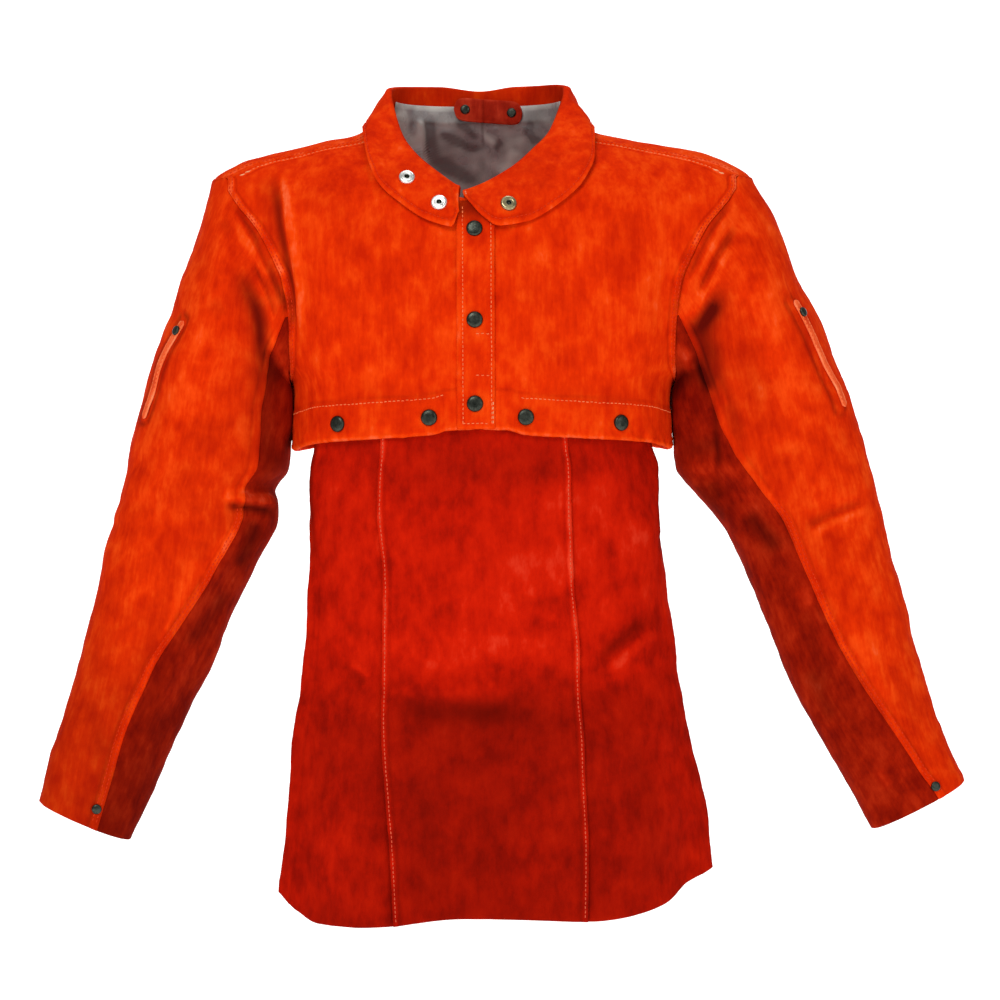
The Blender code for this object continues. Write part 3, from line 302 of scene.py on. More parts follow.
SLEEVE_CREASES = {
    "left": (
        (3.5, -2.2, "ridge", 230, 204, 240, 218, 249, 232, 256, 243, 262, 260, 271, 275, 286, 310,
            289, 330),
        (6, 2.6, "ridge", 233, 214, 242, 234, 249, 246, 257, 257, 265, 272, 272, 286),
        (3, -1.5, "ridge", 251, 267, 256, 273, 266, 290, 272, 307, 278, 324),
        (6, 2.2, "ridge", 254, 278, 263, 293, 271, 307, 274, 325, 280, 344),
        (8, -2.8, "ridge", 234, 270, 245, 287, 252, 301, 259, 315, 262, 330, 262, 345, 260, 366),
        (6, -0.16, "shade", 250, 300, 257, 318, 260, 340, 259, 372),
        (6, -0.13, "shade", 224, 224, 232, 240),
        (8, -0.12, "shade", 212, 306, 226, 320),
        (14, -0.22, "shade", 238, 276, 252, 306, 264, 338, 272, 372, 276, 412),
        (8, -0.16, "shade", 264, 352, 273, 370, 281, 386),
        (6, 2.2, "ridge", 267, 328, 277, 355, 287, 376, 292, 394),
        (3, -0.5, "shade", 291, 380, 292, 420, 290, 462),
        (13, -0.27, "shade", 260, 346, 262, 395, 267, 450, 276, 498),
        (14, -0.14, "shade", 264, 518, 242, 572, 216, 626),
        (6, 3.4, "ridge", 220, 500, 245, 502, 278, 507),
        (5, -3.4, "ridge", 224, 510, 242, 512, 278, 516),
        (2.5, 0.4, "shade", 231, 499, 246, 502),
        (8, -0.22, "shade", 230, 594, 207, 626, 186, 656),
        (16, -1.2, "ridge", 206, 410, 190, 470, 170, 530),
        (15, 1.2, "ridge", 150, 560, 128, 640, 110, 700),
        (8, 1.5, "ridge", 198, 560, 184, 594, 173, 621),
        (14, 1.2, "ridge", 205, 320, 196, 370, 180, 430),
        (9, -1.0, "ridge", 84, 700, 96, 730, 100, 770),
        (9, -0.32, "shade", 258, 522, 248, 550, 235, 576),
        (8, 0.2, "shade", 238, 530, 218, 560, 200, 590),
        (9, 0.14, "shade", 200, 640, 178, 682, 160, 722),
        (3, 0.2, "shade", 184, 594, 158, 652, 127, 728, 106, 788),
    ),
    "right": (
        (3.5, -2.0, "ridge", 733, 196, 719, 220, 710, 236, 702, 253, 695, 267, 689, 283),
        (7, 3.0, "ridge", 735, 208, 724, 225, 714, 243, 705, 260, 697, 278, 690, 298, 683, 326),
        (5, -3.0, "ridge", 738, 222, 728, 239, 719, 253, 712, 267, 705, 278, 700, 296),
        (5, 2.2, "ridge", 733, 242, 723, 260, 714, 278, 702, 298, 690, 318),
        (11, -0.5, "shade", 730, 282, 714, 308, 704, 334, 706, 372, 714, 404),
        (8, -0.34, "shade", 722, 300, 704, 318, 688, 336),
        (7, -0.1, "shade", 746, 232, 752, 244),
        (8, -0.1, "shade", 756, 268, 762, 282),
        (7, 2.4, "ridge", 675, 342, 686, 352, 696, 370),
        (8, -0.45, "shade", 676, 402, 682, 384, 690, 366),
        (3.5, -0.4, "shade", 671, 384, 669, 417, 668, 444),
        (6, -0.3, "shade", 692, 352, 704, 373, 713, 394),
        (3.5, -0.35, "shade", 713, 388, 717, 446, 719, 478),
        (2, 0.25, "shade", 716, 376, 728, 406),
        (7, -0.24, "shade", 714, 326, 718, 360, 722, 385, 733, 410, 745, 448),
        (9, -0.22, "shade", 680, 446, 700, 446, 722, 438),
        (11, -0.3, "shade", 688, 486, 712, 505, 728, 524),
        (7, 1.8, "ridge", 690, 467, 713, 468),
        (5, 0.16, "shade", 740, 479, 754, 483),
        (6, -1.8, "fold", 806, 528, 839, 512, 868, 501),
        (8, -0.16, "shade", 748, 508, 762, 525, 778, 548),
        (14, 1.2, "ridge", 760, 250, 775, 320, 790, 380),
        (14, -1.2, "ridge", 742, 300, 752, 370, 760, 440),
        (13, 1.4, "ridge", 850, 600, 872, 650, 895, 700),
        (10, -1.2, "ridge", 886, 650, 905, 690, 925, 730),
        (9, -1.2, "ridge", 800, 600, 812, 640, 830, 690),
        (6, 0.2, "shade", 700, 466, 722, 468, 745, 472),
        (7, -0.25, "shade", 710, 480, 722, 498),
        (10, -0.3, "shade", 742, 510, 760, 530, 784, 552),
        (5, 0.18, "shade", 730, 493, 758, 497),
        (7, 0.22, "shade", 797, 586, 813, 604),
        (8, 0.16, "shade", 822, 630, 838, 650, 853, 668),
        (8, -0.22, "shade", 806, 662, 820, 692, 834, 720),
        (6, 0.2, "shade", 874, 766, 889, 785),
        (2, -0.28, "shade", 808, 590, 842, 650, 874, 696, 898, 738),
        (4, -0.2, "shade", 775, 504, 786, 524, 796, 548),
    ),
}
BIB_CREASES = (
    (9, 3.2, "fold", 656, 622, 640, 634, 621, 652, 600, 668),
    (7, 1.6, "fold", 346, 672, 357, 676, 368, 685),
    (16, 3.4, "fold", 388, 697, 430, 704, 482, 702, 520, 694),
    (26, 2.0, "ridge", 450, 560, 520, 566, 580, 560),
    (18, 1.6, "ridge", 330, 480, 340, 560, 332, 640),
    (18, 1.6, "ridge", 640, 500, 634, 560, 645, 610),
    (18, -1.8, "ridge", 420, 760, 424, 830, 418, 920),
    (20, 1.8, "ridge", 520, 740, 530, 830, 526, 915),
    (16, 1.8, "ridge", 345, 760, 335, 840, 330, 915),
    (16, -1.8, "ridge", 640, 720, 650, 800, 662, 890),
    (9, -0.16, "shade", 505, 592, 530, 604, 560, 604, 582, 588),
    (7, -0.14, "shade", 436, 610, 458, 620),
    (16, 0.12, "shade", 400, 668, 450, 664, 520, 650, 572, 638),
    (26, 0.1, "shade", 560, 470, 570, 540, 568, 610),
    (9, -0.18, "shade", 596, 652, 640, 628, 662, 612),
    (6, 0.15, "shade", 590, 688, 620, 678, 652, 662),
    (5, -0.14, "shade", 343, 628, 364, 641),
    (3, -0.16, "shade", 338, 671, 352, 673, 370, 686),
    (14, -0.12, "shade", 392, 700, 450, 706, 505, 716, 562, 706),
    (22, 0.1, "shade", 650, 700, 668, 780, 674, 855),
    (10, -0.08, "shade", 324, 715, 330, 810),
)
LINING_CREASES = (
    (9, 1.3, "ridge", 398, 110, 402, 135, 412, 160),
    (4, 2.0, "ridge", 421, 120, 424, 145, 428, 172),
    (5, -2.4, "ridge", 431, 118, 432, 145, 437, 170),
    (3.5, -1.7, "ridge", 438, 133, 455, 142, 470, 149, 486, 151),
    (7, -1.6, "ridge", 434, 160, 455, 172, 482, 186),
    (3.5, -1.2, "ridge", 455, 122, 468, 130, 480, 143),
    (4, 0.8, "ridge", 480, 131, 492, 143, 505, 151),
    (3, -1.8, "ridge", 496, 152, 504, 142),
    (3.5, -1.6, "ridge", 534, 120, 530, 132, 536, 142, 546, 140),
    (7, 0.8, "ridge", 520, 150, 512, 165, 500, 178),
)
# out, up
STUD_CAP = (
    (1.0, -0.3), (1.02, 0.12), (1.0, 0.38), (0.94, 0.62), (0.84, 0.80), (0.66, 0.93),
    (0.40, 0.99), (0.20, 1.0), (0.0, 1.0)
)
STUD_SOCKET = (
    (1.0, -0.3), (1.02, 0.15), (1.0, 0.45), (0.94, 0.68), (0.84, 0.80), (0.70, 0.84),
    (0.56, 0.78), (0.44, 0.72), (0.34, 0.74), (0.25, 0.70), (0.21, 0.4), (0.20, 0.1), (0.0, 0.08)
)
SOCKET_HOLLOW = 8
# Pieces that each kind of stud is pressed on
CARRIERS = {
    "placket_stud": ("suede_placket",),
    "hem_stud": ("suede_cape_front_left", "suede_cape_front_right"),
    "collar_stud": ("suede_collar",),
    "tab_stud": ("leather_hanger_tab",),
    "arm_stud_left": ("suede_arm_strap_left",),
    "arm_stud_right": ("suede_arm_strap_right",),
    "cuff_stud_left": ("suede_sleeve_outer_left", "suede_sleeve_under_left"),
    "cuff_stud_right": ("suede_sleeve_outer_right", "suede_sleeve_under_right"),
}


def smooth(xs, ys, x):
    """Values at x of a smooth curve through the points, with no overshoot between them."""
    xs, ys, x = np.asarray(xs, float), np.asarray(ys, float), np.asarray(x, float)
    slopes = np.diff(ys) / np.diff(xs)
    total, product = slopes[1:] + slopes[:-1], slopes[1:] * slopes[:-1]
    level = np.where(product > 0, 2 * product / np.where(product > 0, total, 1), 0)
    tangents = np.concatenate([slopes[:1], level, slopes[-1:]])
    i = np.clip(np.searchsorted(xs, x) - 1, 0, len(xs) - 2)
    span = xs[i + 1] - xs[i]
    t = np.clip((x - xs[i]) / span, 0, 1)
    return (
        ys[i] * (1 + 2 * t) * (1 - t) ** 2
        + ys[i + 1] * t * t * (3 - 2 * t)
        + span * t * (1 - t) * ((1 - t) * tangents[i] - t * tangents[i + 1])
    )


def columns(table):
    return np.array(table, float).T


def curve(table, x, column=1):
    """A column of a table at x along its first column."""
    table = columns(table)
    return smooth(table[0], table[column], x)


def by_row(table, row):
    """Every column of a table at a row, or between two."""
    return [smooth(range(len(table)), column, row) for column in columns(table)]


def vectors(x, y, z):
    return np.stack(np.broadcast_arrays(x, y, z), -1)


def signed_power(value, power):
    return np.sign(value) * np.abs(value) ** power


def unit(rows):
    rows = np.asarray(rows, float)
    return rows / np.maximum(np.linalg.norm(rows, axis=-1, keepdims=True), 1e-12)


def bumps(folds, x, y):
    """Sum of rounded rises at rows of (x, y, breadth, height, rise)."""
    return sum(
        rise * np.exp(-(((x - at_x) / breadth) ** 2) - ((y - at_y) / height) ** 2)
        for at_x, at_y, breadth, height, rise in folds
    )


def ramp(value, start, end):
    """0 before start and 1 after end, with a smooth rise between; start may be the larger."""
    t = np.clip((np.asarray(value, float) - start) / (end - start), 0, 1)
    return t * t * (3 - 2 * t)


def line_at(far, distance, half):
    """1 where far is the distance, fading over half."""
    return np.exp(-(((far - distance) / half) ** 2))


def noise(points, size, seed):
    """Smooth random field, about -1 to 1, whose lumps are about the size given."""
    generator = np.random.default_rng(seed)
    waves = generator.normal(size=(22, 3)) * 2.2 / size
    shifts = generator.uniform(0, 2 * math.pi, 22)
    return np.cos(points @ waves.T + shifts).sum(-1) / math.sqrt(11) / 1.6


def rough(points, *layers):
    """Sum of noises, each a (height, size, seed)."""
    return sum(height * noise(points, size, seed) for height, size, seed in layers)


def armhole_level(share):
    return -ARMHOLE_TOP - share * (ARMHOLE_BOTTOM - ARMHOLE_TOP)


def neck_level(share):
    return share * (NECK_RISE if share > 0 else NECK_FALL)


def form_rows():
    """Rows of (height, half width, front depth, back depth) of the form, from the top."""
    rows = []
    for level, out, front, back in SHOULDERS:
        z = level * (NECK_RISE if level > 0 else ARMHOLE_TOP)
        rows.append((z, NECK_HALF + out * (SHOULDER_HALF - NECK_HALF), front, back))
    for down, out, front, back in TRUNK:
        half = SIDE_HALF + out * (SHOULDER_HALF - SIDE_HALF)
        rows.append((armhole_level(down), half, front, back))
    return [(z, half, f * FRONT_DEPTH, b * BACK_DEPTH) for z, half, f, b in rows]


FORM = columns(form_rows()[::-1])


def half_width(z):
    return smooth(FORM[0], FORM[1], z)


def depth(z, back):
    return np.where(back, smooth(FORM[0], FORM[3], z), smooth(FORM[0], FORM[2], z))


def hem_level(x):
    return -CAPE_DROP * curve(HEM, np.abs(x) / SIDE_HALF)


def angle_at(x, z):
    return np.arcsin(np.minimum(1, np.abs(x) / half_width(z)) ** (FORM_POWER / 2))


def cape_point(angle, z, offset=0.0):
    """Points on the cape at angles round it and heights, offset out from its outside."""
    angle, z, offset = np.broadcast_arrays(*(np.asarray(v, float) for v in (angle, z, offset)))
    back = np.cos(angle) < 0
    half, deep = half_width(z), depth(z, back)
    x = half * signed_power(np.sin(angle), 2 / FORM_POWER)
    y = -deep * signed_power(np.cos(angle), 2 / FORM_POWER)
    step = 0.001
    half_slope = (half_width(z + step) - half_width(z - step)) / (2 * step)
    deep_slope = (depth(z + step, back) - depth(z - step, back)) / (2 * step)
    across, along = np.abs(x / half) ** FORM_POWER, np.abs(y / deep) ** FORM_POWER
    slope = across * half_slope / half + along * deep_slope / deep
    out = signed_power(x / half, FORM_POWER - 1) / half
    behind = signed_power(y / deep, FORM_POWER - 1) / deep
    folds = CAPE_FOLD * bumps(CAPE_FOLDS, x / SIDE_HALF, -z / CAPE_DROP)
    offset = offset + np.where(back, 0, folds)
    share = np.maximum(0, (z + ARMHOLE_BOTTOM) / (ARMHOLE_BOTTOM - CAPE_DROP))
    z = z + share * (hem_level(x) + CAPE_DROP)
    return vectors(x, y, z) + offset[..., None] * unit(vectors(out, behind, -slope))


def form_angle(x, z, back=False):
    """Angles round the form of points at x out on its front or its back."""
    angle = np.copysign(angle_at(x, z), x)
    return np.where(back, math.pi - angle, angle)


def inside_point(angle, z, inset):
    """Points inside the cape; inside the neck they are inset level."""
    outside = cape_point(angle, z)
    flat = cape_point(angle, z, 0.01) - outside
    flat[..., 2] *= smooth((0, 0.02), (1, 0), z)
    return outside - unit(flat) * np.asarray(inset)[..., None]


def neck_out(z, back):
    """Distance out of the neck's edge at heights, on the front or on the back."""
    table = columns(NECK_BACK if back else NECK_FRONT)
    return NECK_HALF * smooth([neck_level(share) for share in table[1]], table[0], z)


def widened(points):
    """Points with the right shoulder and upper arm let out to the photograph's breadth."""
    out = SHOULDER_LET_OUT * ramp(points[..., 0], 0.10, 0.21) * ramp(points[..., 2], -0.44, -0.30)
    return points + out[..., None] * (1.0, 0.0, 0.0)


def seam_angle(z):
    """Angle of the shoulder's seam at heights."""
    return angle_at(half_width(z + SEAM_DROP), z)


def armhole_angle(z, back):
    """Angle of the armhole's edge at heights, on the front or on the back of the form."""
    table = ARMHOLE_BACK if back else ARMHOLE_FRONT
    first, first_out = table[0]
    share = (-z - ARMHOLE_TOP) / (ARMHOLE_BOTTOM - ARMHOLE_TOP)
    below = form_angle(SIDE_HALF * curve(table, share), z, back)
    start_y = cape_point(seam_angle(-ARMHOLE_TOP), -ARMHOLE_TOP)[1]
    end_z = armhole_level(first)
    end_y = cape_point(form_angle(SIDE_HALF * first_out, end_z, back), end_z)[1]
    y = start_y + (end_y - start_y) * np.sqrt(np.clip(share, 0, first) / first)
    above = np.arccos(np.clip(-signed_power(y / depth(z, y > 0), FORM_POWER / 2), -1, 1))
    return np.where(share >= first, below, above)


def arm_side(z, back):
    """Angle of the armhole's edge, and of the side seam below it."""
    return np.where(z > -ARMHOLE_BOTTOM + 1e-6, armhole_angle(z, back), math.pi / 2)


def side_angle(z, back):
    """Angles where a front or a back panel ends at heights."""
    neck_side = neck_level(NECK_FRONT[-1][1])
    found = np.where(z > -ARMHOLE_TOP, seam_angle(z), arm_side(z, back))
    found = np.where(z > neck_side - SEAM_DROP, angle_at(neck_out(z, False), z), found)
    return np.where(z > neck_side, math.pi - angle_at(neck_out(z, True), z), found)


def armhole_turn(share, back):
    """Height a share of the way round a front or back half of the armhole, from its top."""
    return armhole_level((1 - np.cos(math.pi * share ** (1.15 if back else 1.0))) / 2)


def panel_levels(back, shoulder_steps, arm_steps, hem_steps):
    """Heights of a panel's rows from the neck's side to the hem."""
    top = neck_level(NECK_FRONT[-1][1]) - SEAM_DROP
    shoulder = top + (-ARMHOLE_TOP - top) * (np.arange(shoulder_steps) / shoulder_steps) ** 1.15
    arm = armhole_turn(np.linspace(0, 1, arm_steps + 1), back)
    return np.concatenate((shoulder, arm, hem_rows(hem_steps)))


def hem_rows(steps):
    """Heights of the rows below the armhole."""
    return np.linspace(-ARMHOLE_BOTTOM, -CAPE_DROP, steps + 1)[1:]


def view_of(points):
    """Places of points in the photograph's view, in thousandths of its width."""
    scale = (VIEW_DISTANCE + points[..., 1]) / VIEW_DISTANCE
    x = 500 + 1000 * (points[..., 0] - VIEW_X) / scale
    level = points[..., 2] + VIEW_TILT * points[..., 0]
    return x, 500 - 1000 * (level - VIEW_Z) / scale


def run_along(points):
    """Distance of each point of a path from its first."""
    return np.concatenate([[0], np.cumsum(np.linalg.norm(np.diff(points, axis=0), axis=1))])


def at_runs(values, run, at):
    """Values between the points of a path, at distances from its first."""
    return np.stack([np.interp(at, run, column) for column in values.T], -1)


def line_distance(x, y, line):
    """Signed distance to a line of points, positive on its right, and share along it."""
    starts = run_along(line)
    best = np.full(x.shape, 1e9)
    signed, share = np.zeros(x.shape), np.zeros(x.shape)
    for start, a, b in zip(starts, line, line[1:]):
        length = np.linalg.norm(b - a)
        step = (b - a) / length
        dx, dy = x - a[0], y - a[1]
        t = np.clip(dx * step[0] + dy * step[1], 0, length)
        far = np.hypot(dx - t * step[0], dy - t * step[1])
        side = np.sign(dy * step[0] - dx * step[1])
        closer = far < best
        best = np.where(closer, far, best)
        signed = np.where(closer, -far * side, signed)
        share = np.where(closer, (start + t) / starts[-1], share)
    return signed, share


def strokes(points, creases, fade):
    """Half width, kind and rises over the points of each crease, faded out at its ends."""
    x, y = view_of(points)
    for half, rise, kind, *line in creases:
        far, share = line_distance(x, y, np.reshape(line, (-1, 2)).astype(float))
        t = far / half
        form = t * np.exp(0.5 - t * t) * 1.4 if kind == "fold" else np.exp(-t * t)
        yield half, kind, rise * form * (ramp(share, -0.01, fade) * ramp(share, 1.01, 1 - fade))


def crease_relief(points, normals, creases):
    """Rise of the surface in metres from creases in the photograph's view, and their painted
    shade and highlights as a tone, in which a broad crease counts for less than a narrow one."""
    facing = ramp(-normals[..., 1], 0.05, 0.35)
    total, shade = np.zeros(facing.shape), np.zeros(facing.shape)
    for half, kind, part in strokes(points, creases, 0.22):
        part = part * facing
        if kind != "shade":
            total += 0.001 * part
            part = part / (1.2 * half)
        # Painted shade where the crease is low and painted highlight where it is high
        shade += part
    return total, shade


def edge_distances(grid):
    """Distance along the grid of every point from its first and last row and column."""
    across = np.linalg.norm(np.diff(grid, axis=1), axis=2)
    along = np.linalg.norm(np.diff(grid, axis=0), axis=2)
    first = np.pad(np.cumsum(across, axis=1), ((0, 0), (1, 0)))
    top = np.pad(np.cumsum(along, axis=0), ((1, 0), (0, 0)))
    return {"start": first, "end": first[:, -1:] - first, "top": top, "bottom": top[-1:] - top}


def faced(point_at, offset=0.0):
    """A grid of points and its unit normals, from a function of the offset off its form."""
    base = point_at(offset)
    return base, unit(point_at(offset + 0.001) - base)


def raised(grid, normals, height):
    return grid + normals * height[..., None]


def grid_normals(grid, towards):
    """Unit normals of a grid, on the side that the given directions lie."""
    normals = unit(np.cross(np.gradient(grid, axis=1), np.gradient(grid, axis=0)))
    return normals * (np.sign((normals * towards).sum(-1).mean()) or 1)


def sew(kind, face, side, distance, start=0.0, end=1.0):
    """Adds a row of stitches along one side of a face, which is a grid and its normals. The
    distance in from that side may be one for each row."""
    grid, normals = face
    if side in ("top", "bottom"):
        grid, normals = grid.transpose(1, 0, 2), normals.transpose(1, 0, 2)
    if side in ("end", "bottom"):
        grid, normals = grid[:, ::-1], normals[:, ::-1]
    last = len(grid) - 1
    distance = np.broadcast_to(distance, (last + 1,))
    points, outs = [], []
    for i in range(int(start * last), int(end * last) + 1):
        run = run_along(grid[i])
        points.append(at_runs(grid[i], run, distance[i]))
        outs.append(at_runs(normals[i], run, distance[i]))
    PATHS[kind].append((np.array(points), unit(outs)))


def resample(points, normals, step):
    """Points, normals and directions every step along a path."""
    run = run_along(points)
    count = max(2, int(run[-1] / step))
    at = (np.arange(count) + 0.5) * run[-1] / count
    ahead, behind = at_runs(points, run, at + 0.002), at_runs(points, run, at - 0.002)
    return at_runs(points, run, at), unit(at_runs(normals, run, at)), unit(ahead - behind)


def ring_faces(base, rings, sides):
    """Quads between rings of points that follow each other from a first index."""
    return [
        (low + k, low + (k + 1) % sides, low + sides + (k + 1) % sides, low + sides + k)
        for low in range(base, base + (rings - 1) * sides, sides)
        for k in range(sides)
    ]


def stitch_mesh(paths):
    """Vertices and faces of a row of short threads along each path of (points, normals)."""
    generator = np.random.default_rng(7)
    verts, faces = [], []
    turns = [2 * math.pi * k / STITCH_SIDES + 0.3 for k in range(STITCH_SIDES)]
    for points, normals in paths:
        middle, out, along = resample(points, normals, STITCH_PITCH)
        across = unit(np.cross(out, along))
        along = unit(along + across * generator.normal(0, 0.05, (len(along), 1)))
        across = unit(np.cross(out, along))
        middle = middle + across * generator.normal(0, 0.00012, (len(along), 1))
        for m, o, a, c in zip(middle, out, along, across):
            base = len(verts)
            for shift, thick, rise in STITCH_RINGS:
                centre = m + a * shift * STITCH_LENGTH + o * rise * STITCH_RADIUS
                wide = STITCH_RADIUS * thick
                verts += [centre + (o * math.sin(t) + c * math.cos(t)) * wide for t in turns]
            faces += ring_faces(base, len(STITCH_RINGS), STITCH_SIDES)
            faces.append(tuple(range(base, base + STITCH_SIDES))[::-1])
            faces.append(tuple(range(len(verts) - STITCH_SIDES, len(verts))))
    return verts, faces


def mesh_of(name, verts, faces, *finishes):
    mesh = bpy.data.meshes.new(name)
    mesh.from_pydata(verts, [], faces)
    for finish in finishes:
        mesh.materials.append(finish)
    return mesh


def linked(name, data):
    made = bpy.data.objects.new(name, data)
    bpy.context.scene.collection.objects.link(made)
    return made


def new_object(mesh, replaced=()):
    """A smooth piece that rides on the garment and may stand in place of CAD nodes."""
    mesh.shade_smooth()
    made = linked(mesh.name, mesh)
    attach(made, "root")
    if replaced:
        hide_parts(*replaced)
    return made


def shell(kind, node, outer, inner, look, tone, nap):
    """Piece in place of a CAD node: a closed wall with a rounded rim between two grids of as
    many rows and columns. Tone, which carries painted shade and highlights, and nap are read by
    its material."""
    rows, cols = outer.shape[:2]
    count = rows * cols
    index = np.arange(count).reshape(rows, cols)
    quads = np.stack((index[:-1, :-1], index[1:, :-1], index[1:, 1:], index[:-1, 1:]), -1)
    quads = quads.reshape(-1, 4)
    rim = [(i, 0) for i in range(rows)] + [(rows - 1, j) for j in range(1, cols)]
    rim += [(i, cols - 1) for i in range(rows - 2, -1, -1)]
    rim += [(0, j) for j in range(cols - 2, 0, -1)]
    ri, rj = np.array(rim).T
    inward = outer[np.clip(ri, 1, rows - 2), np.clip(rj, 1, cols - 2)]
    edge_out, edge_in = outer[ri, rj], inner[ri, rj]
    thick = np.linalg.norm(edge_out - edge_in, axis=1, keepdims=True)
    middle = (edge_out + edge_in) / 2 + unit(edge_out - inward) * thick * 0.35
    outs, ins, ring = index[ri, rj], index[ri, rj] + count, np.arange(len(rim)) + 2 * count
    faces = [quads, quads[:, ::-1] + count]
    for here, there in ((outs, ring), (ring, ins)):
        faces.append(np.stack((here, there, np.roll(there, -1), np.roll(here, -1)), -1))
    verts = np.concatenate((outer.reshape(-1, 3), inner.reshape(-1, 3), middle))
    slot, finish = look
    mesh = mesh_of(f"{kind}_{node}", verts.tolist(), np.concatenate(faces).tolist(), finish)
    bm = bmesh.new()
    bm.from_mesh(mesh)
    bmesh.ops.recalc_face_normals(bm, faces=bm.faces)
    bm.to_mesh(mesh)
    bm.free()
    for name, form, field, values in (
        ("tone", "FLOAT", "value", tone), ("nap", "FLOAT_VECTOR", "vector", nap)
    ):
        both = [values.reshape(count, -1)] * 2 + [values[ri, rj].reshape(len(rim), -1)]
        data = np.concatenate(both).astype(np.float32).ravel()
        mesh.attributes.new(name, form, "POINT").data.foreach_set(field, data)
    return new_object(mesh, (node,))


def nap_of(grid, seed):
    """Distances across and down a grid, in metres, for the nap of the suede."""
    far = edge_distances(grid)
    return vectors(far["start"] - far["start"][:, -1:] / 2, far["top"], seed * 0.37)


def plumb(grid):
    """Places for a nap that is brushed straight down."""
    return grid[..., (0, 2, 1)]


def near(points, places, radius):
    """1 at the places and 0 beyond the radius."""
    total = np.zeros(points.shape[:-1])
    for place in places:
        far = np.linalg.norm(points - place, axis=-1)
        total = np.maximum(total, ramp(far, radius, radius * 0.45))
    return total


def stud_places():
    """Points, middle and outward axis of each press stud among the CAD's nodes."""
    found = {}
    for name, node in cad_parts.items():
        if "stud" in name:
            points = np.array([v.co for v in node.data.vertices])
            middle = (points.min(0) + points.max(0)) / 2
            axis = np.linalg.svd(points - points.mean(0), full_matrices=False)[2][2]
            found[name] = (points, middle, -axis if axis[1] > 0 else axis)
    return found


STUDS = stud_places()


def stud_spots(*words):
    """Middles of the studs whose names hold one of the words."""
    return [STUDS[name][1] for word in words for name in STUDS if word in name]


def pucker(points, far, reach, seed):
    """Small ripples that a seam draws into the leather beside it."""
    return noise(points, 0.0075, seed) * np.exp(-far / reach)


class Shading:
    """A new material and its nodes. A socket takes a number, a tuple or another node's output."""

    def __init__(self, name):
        self.made = bpy.data.materials.new(name)
        self.made.use_nodes = True
        self.nodes, self.links = self.made.node_tree.nodes, self.made.node_tree.links
        self.shader = self.nodes["Principled BSDF"]

    def put(self, socket, value):
        if isinstance(value, (int, float)):
            socket.default_value = value
        elif isinstance(value, tuple):
            socket.default_value = (*value, 1)[: len(socket.default_value)]
        else:
            self.links.new(value, socket)

    def add(self, kind, output, inputs=(), **settings):
        """Output of a new node, with its inputs given as (name or number, value)."""
        node = self.nodes.new("ShaderNode" + kind)
        for key, value in settings.items():
            setattr(node, key, value)
        for key, value in inputs:
            self.put(node.inputs[key], value)
        return node.outputs[output]

    def place(self):
        return self.add("TexCoord", "Object")

    def attribute(self, name, output):
        return self.add("Attribute", output, attribute_name=name)

    def calc(self, kind, a, b, clamp=False):
        return self.add("Math", 0, ((0, a), (1, b)), operation=kind, use_clamp=clamp)

    def mix(self, factor, a, b):
        return self.add("Mix", 2, ((0, factor), (6, a), (7, b)), data_type="RGBA")

    def spread(self, value, low, high):
        """The value with low to high brought to 0 to 1."""
        return self.add("MapRange", 0, (("Value", value), ("From Min", low), ("From Max", high)))

    def noise(self, vector, scale, detail=3.0, roughness=0.55, stretch=None):
        if stretch:
            vector = self.add("Mapping", 0, (("Vector", vector), ("Scale", stretch)))
        inputs = ("Vector", vector), ("Scale", scale), ("Detail", detail), ("Roughness", roughness)
        return self.add("TexNoise", "Fac", inputs)

    def colours(self, value, stops):
        node = self.nodes.new("ShaderNodeValToRGB")
        elements = node.color_ramp.elements
        elements[0].position = stops[0][0]
        elements[0].color, elements[1].color = (*stops[0][1], 1), (*stops[-1][1], 1)
        for place, colour in stops[1:-1]:
            elements.new(place).color = (*colour, 1)
        self.put(node.inputs["Fac"], value)
        return node.outputs["Color"]

    def finish(self, bumps=(), **inputs):
        """The material, with the shader's inputs and bumps of (height, strength, distance)."""
        for height, strength, distance in bumps:
            made = {"Height": height, "Strength": strength, "Distance": distance}
            if "Normal" in inputs:
                made["Normal"] = inputs["Normal"]
            inputs["Normal"] = self.add("Bump", 0, made.items())
        for key, value in inputs.items():
            self.put(self.shader.inputs[key.replace("_", " ")], value)
        return self.made


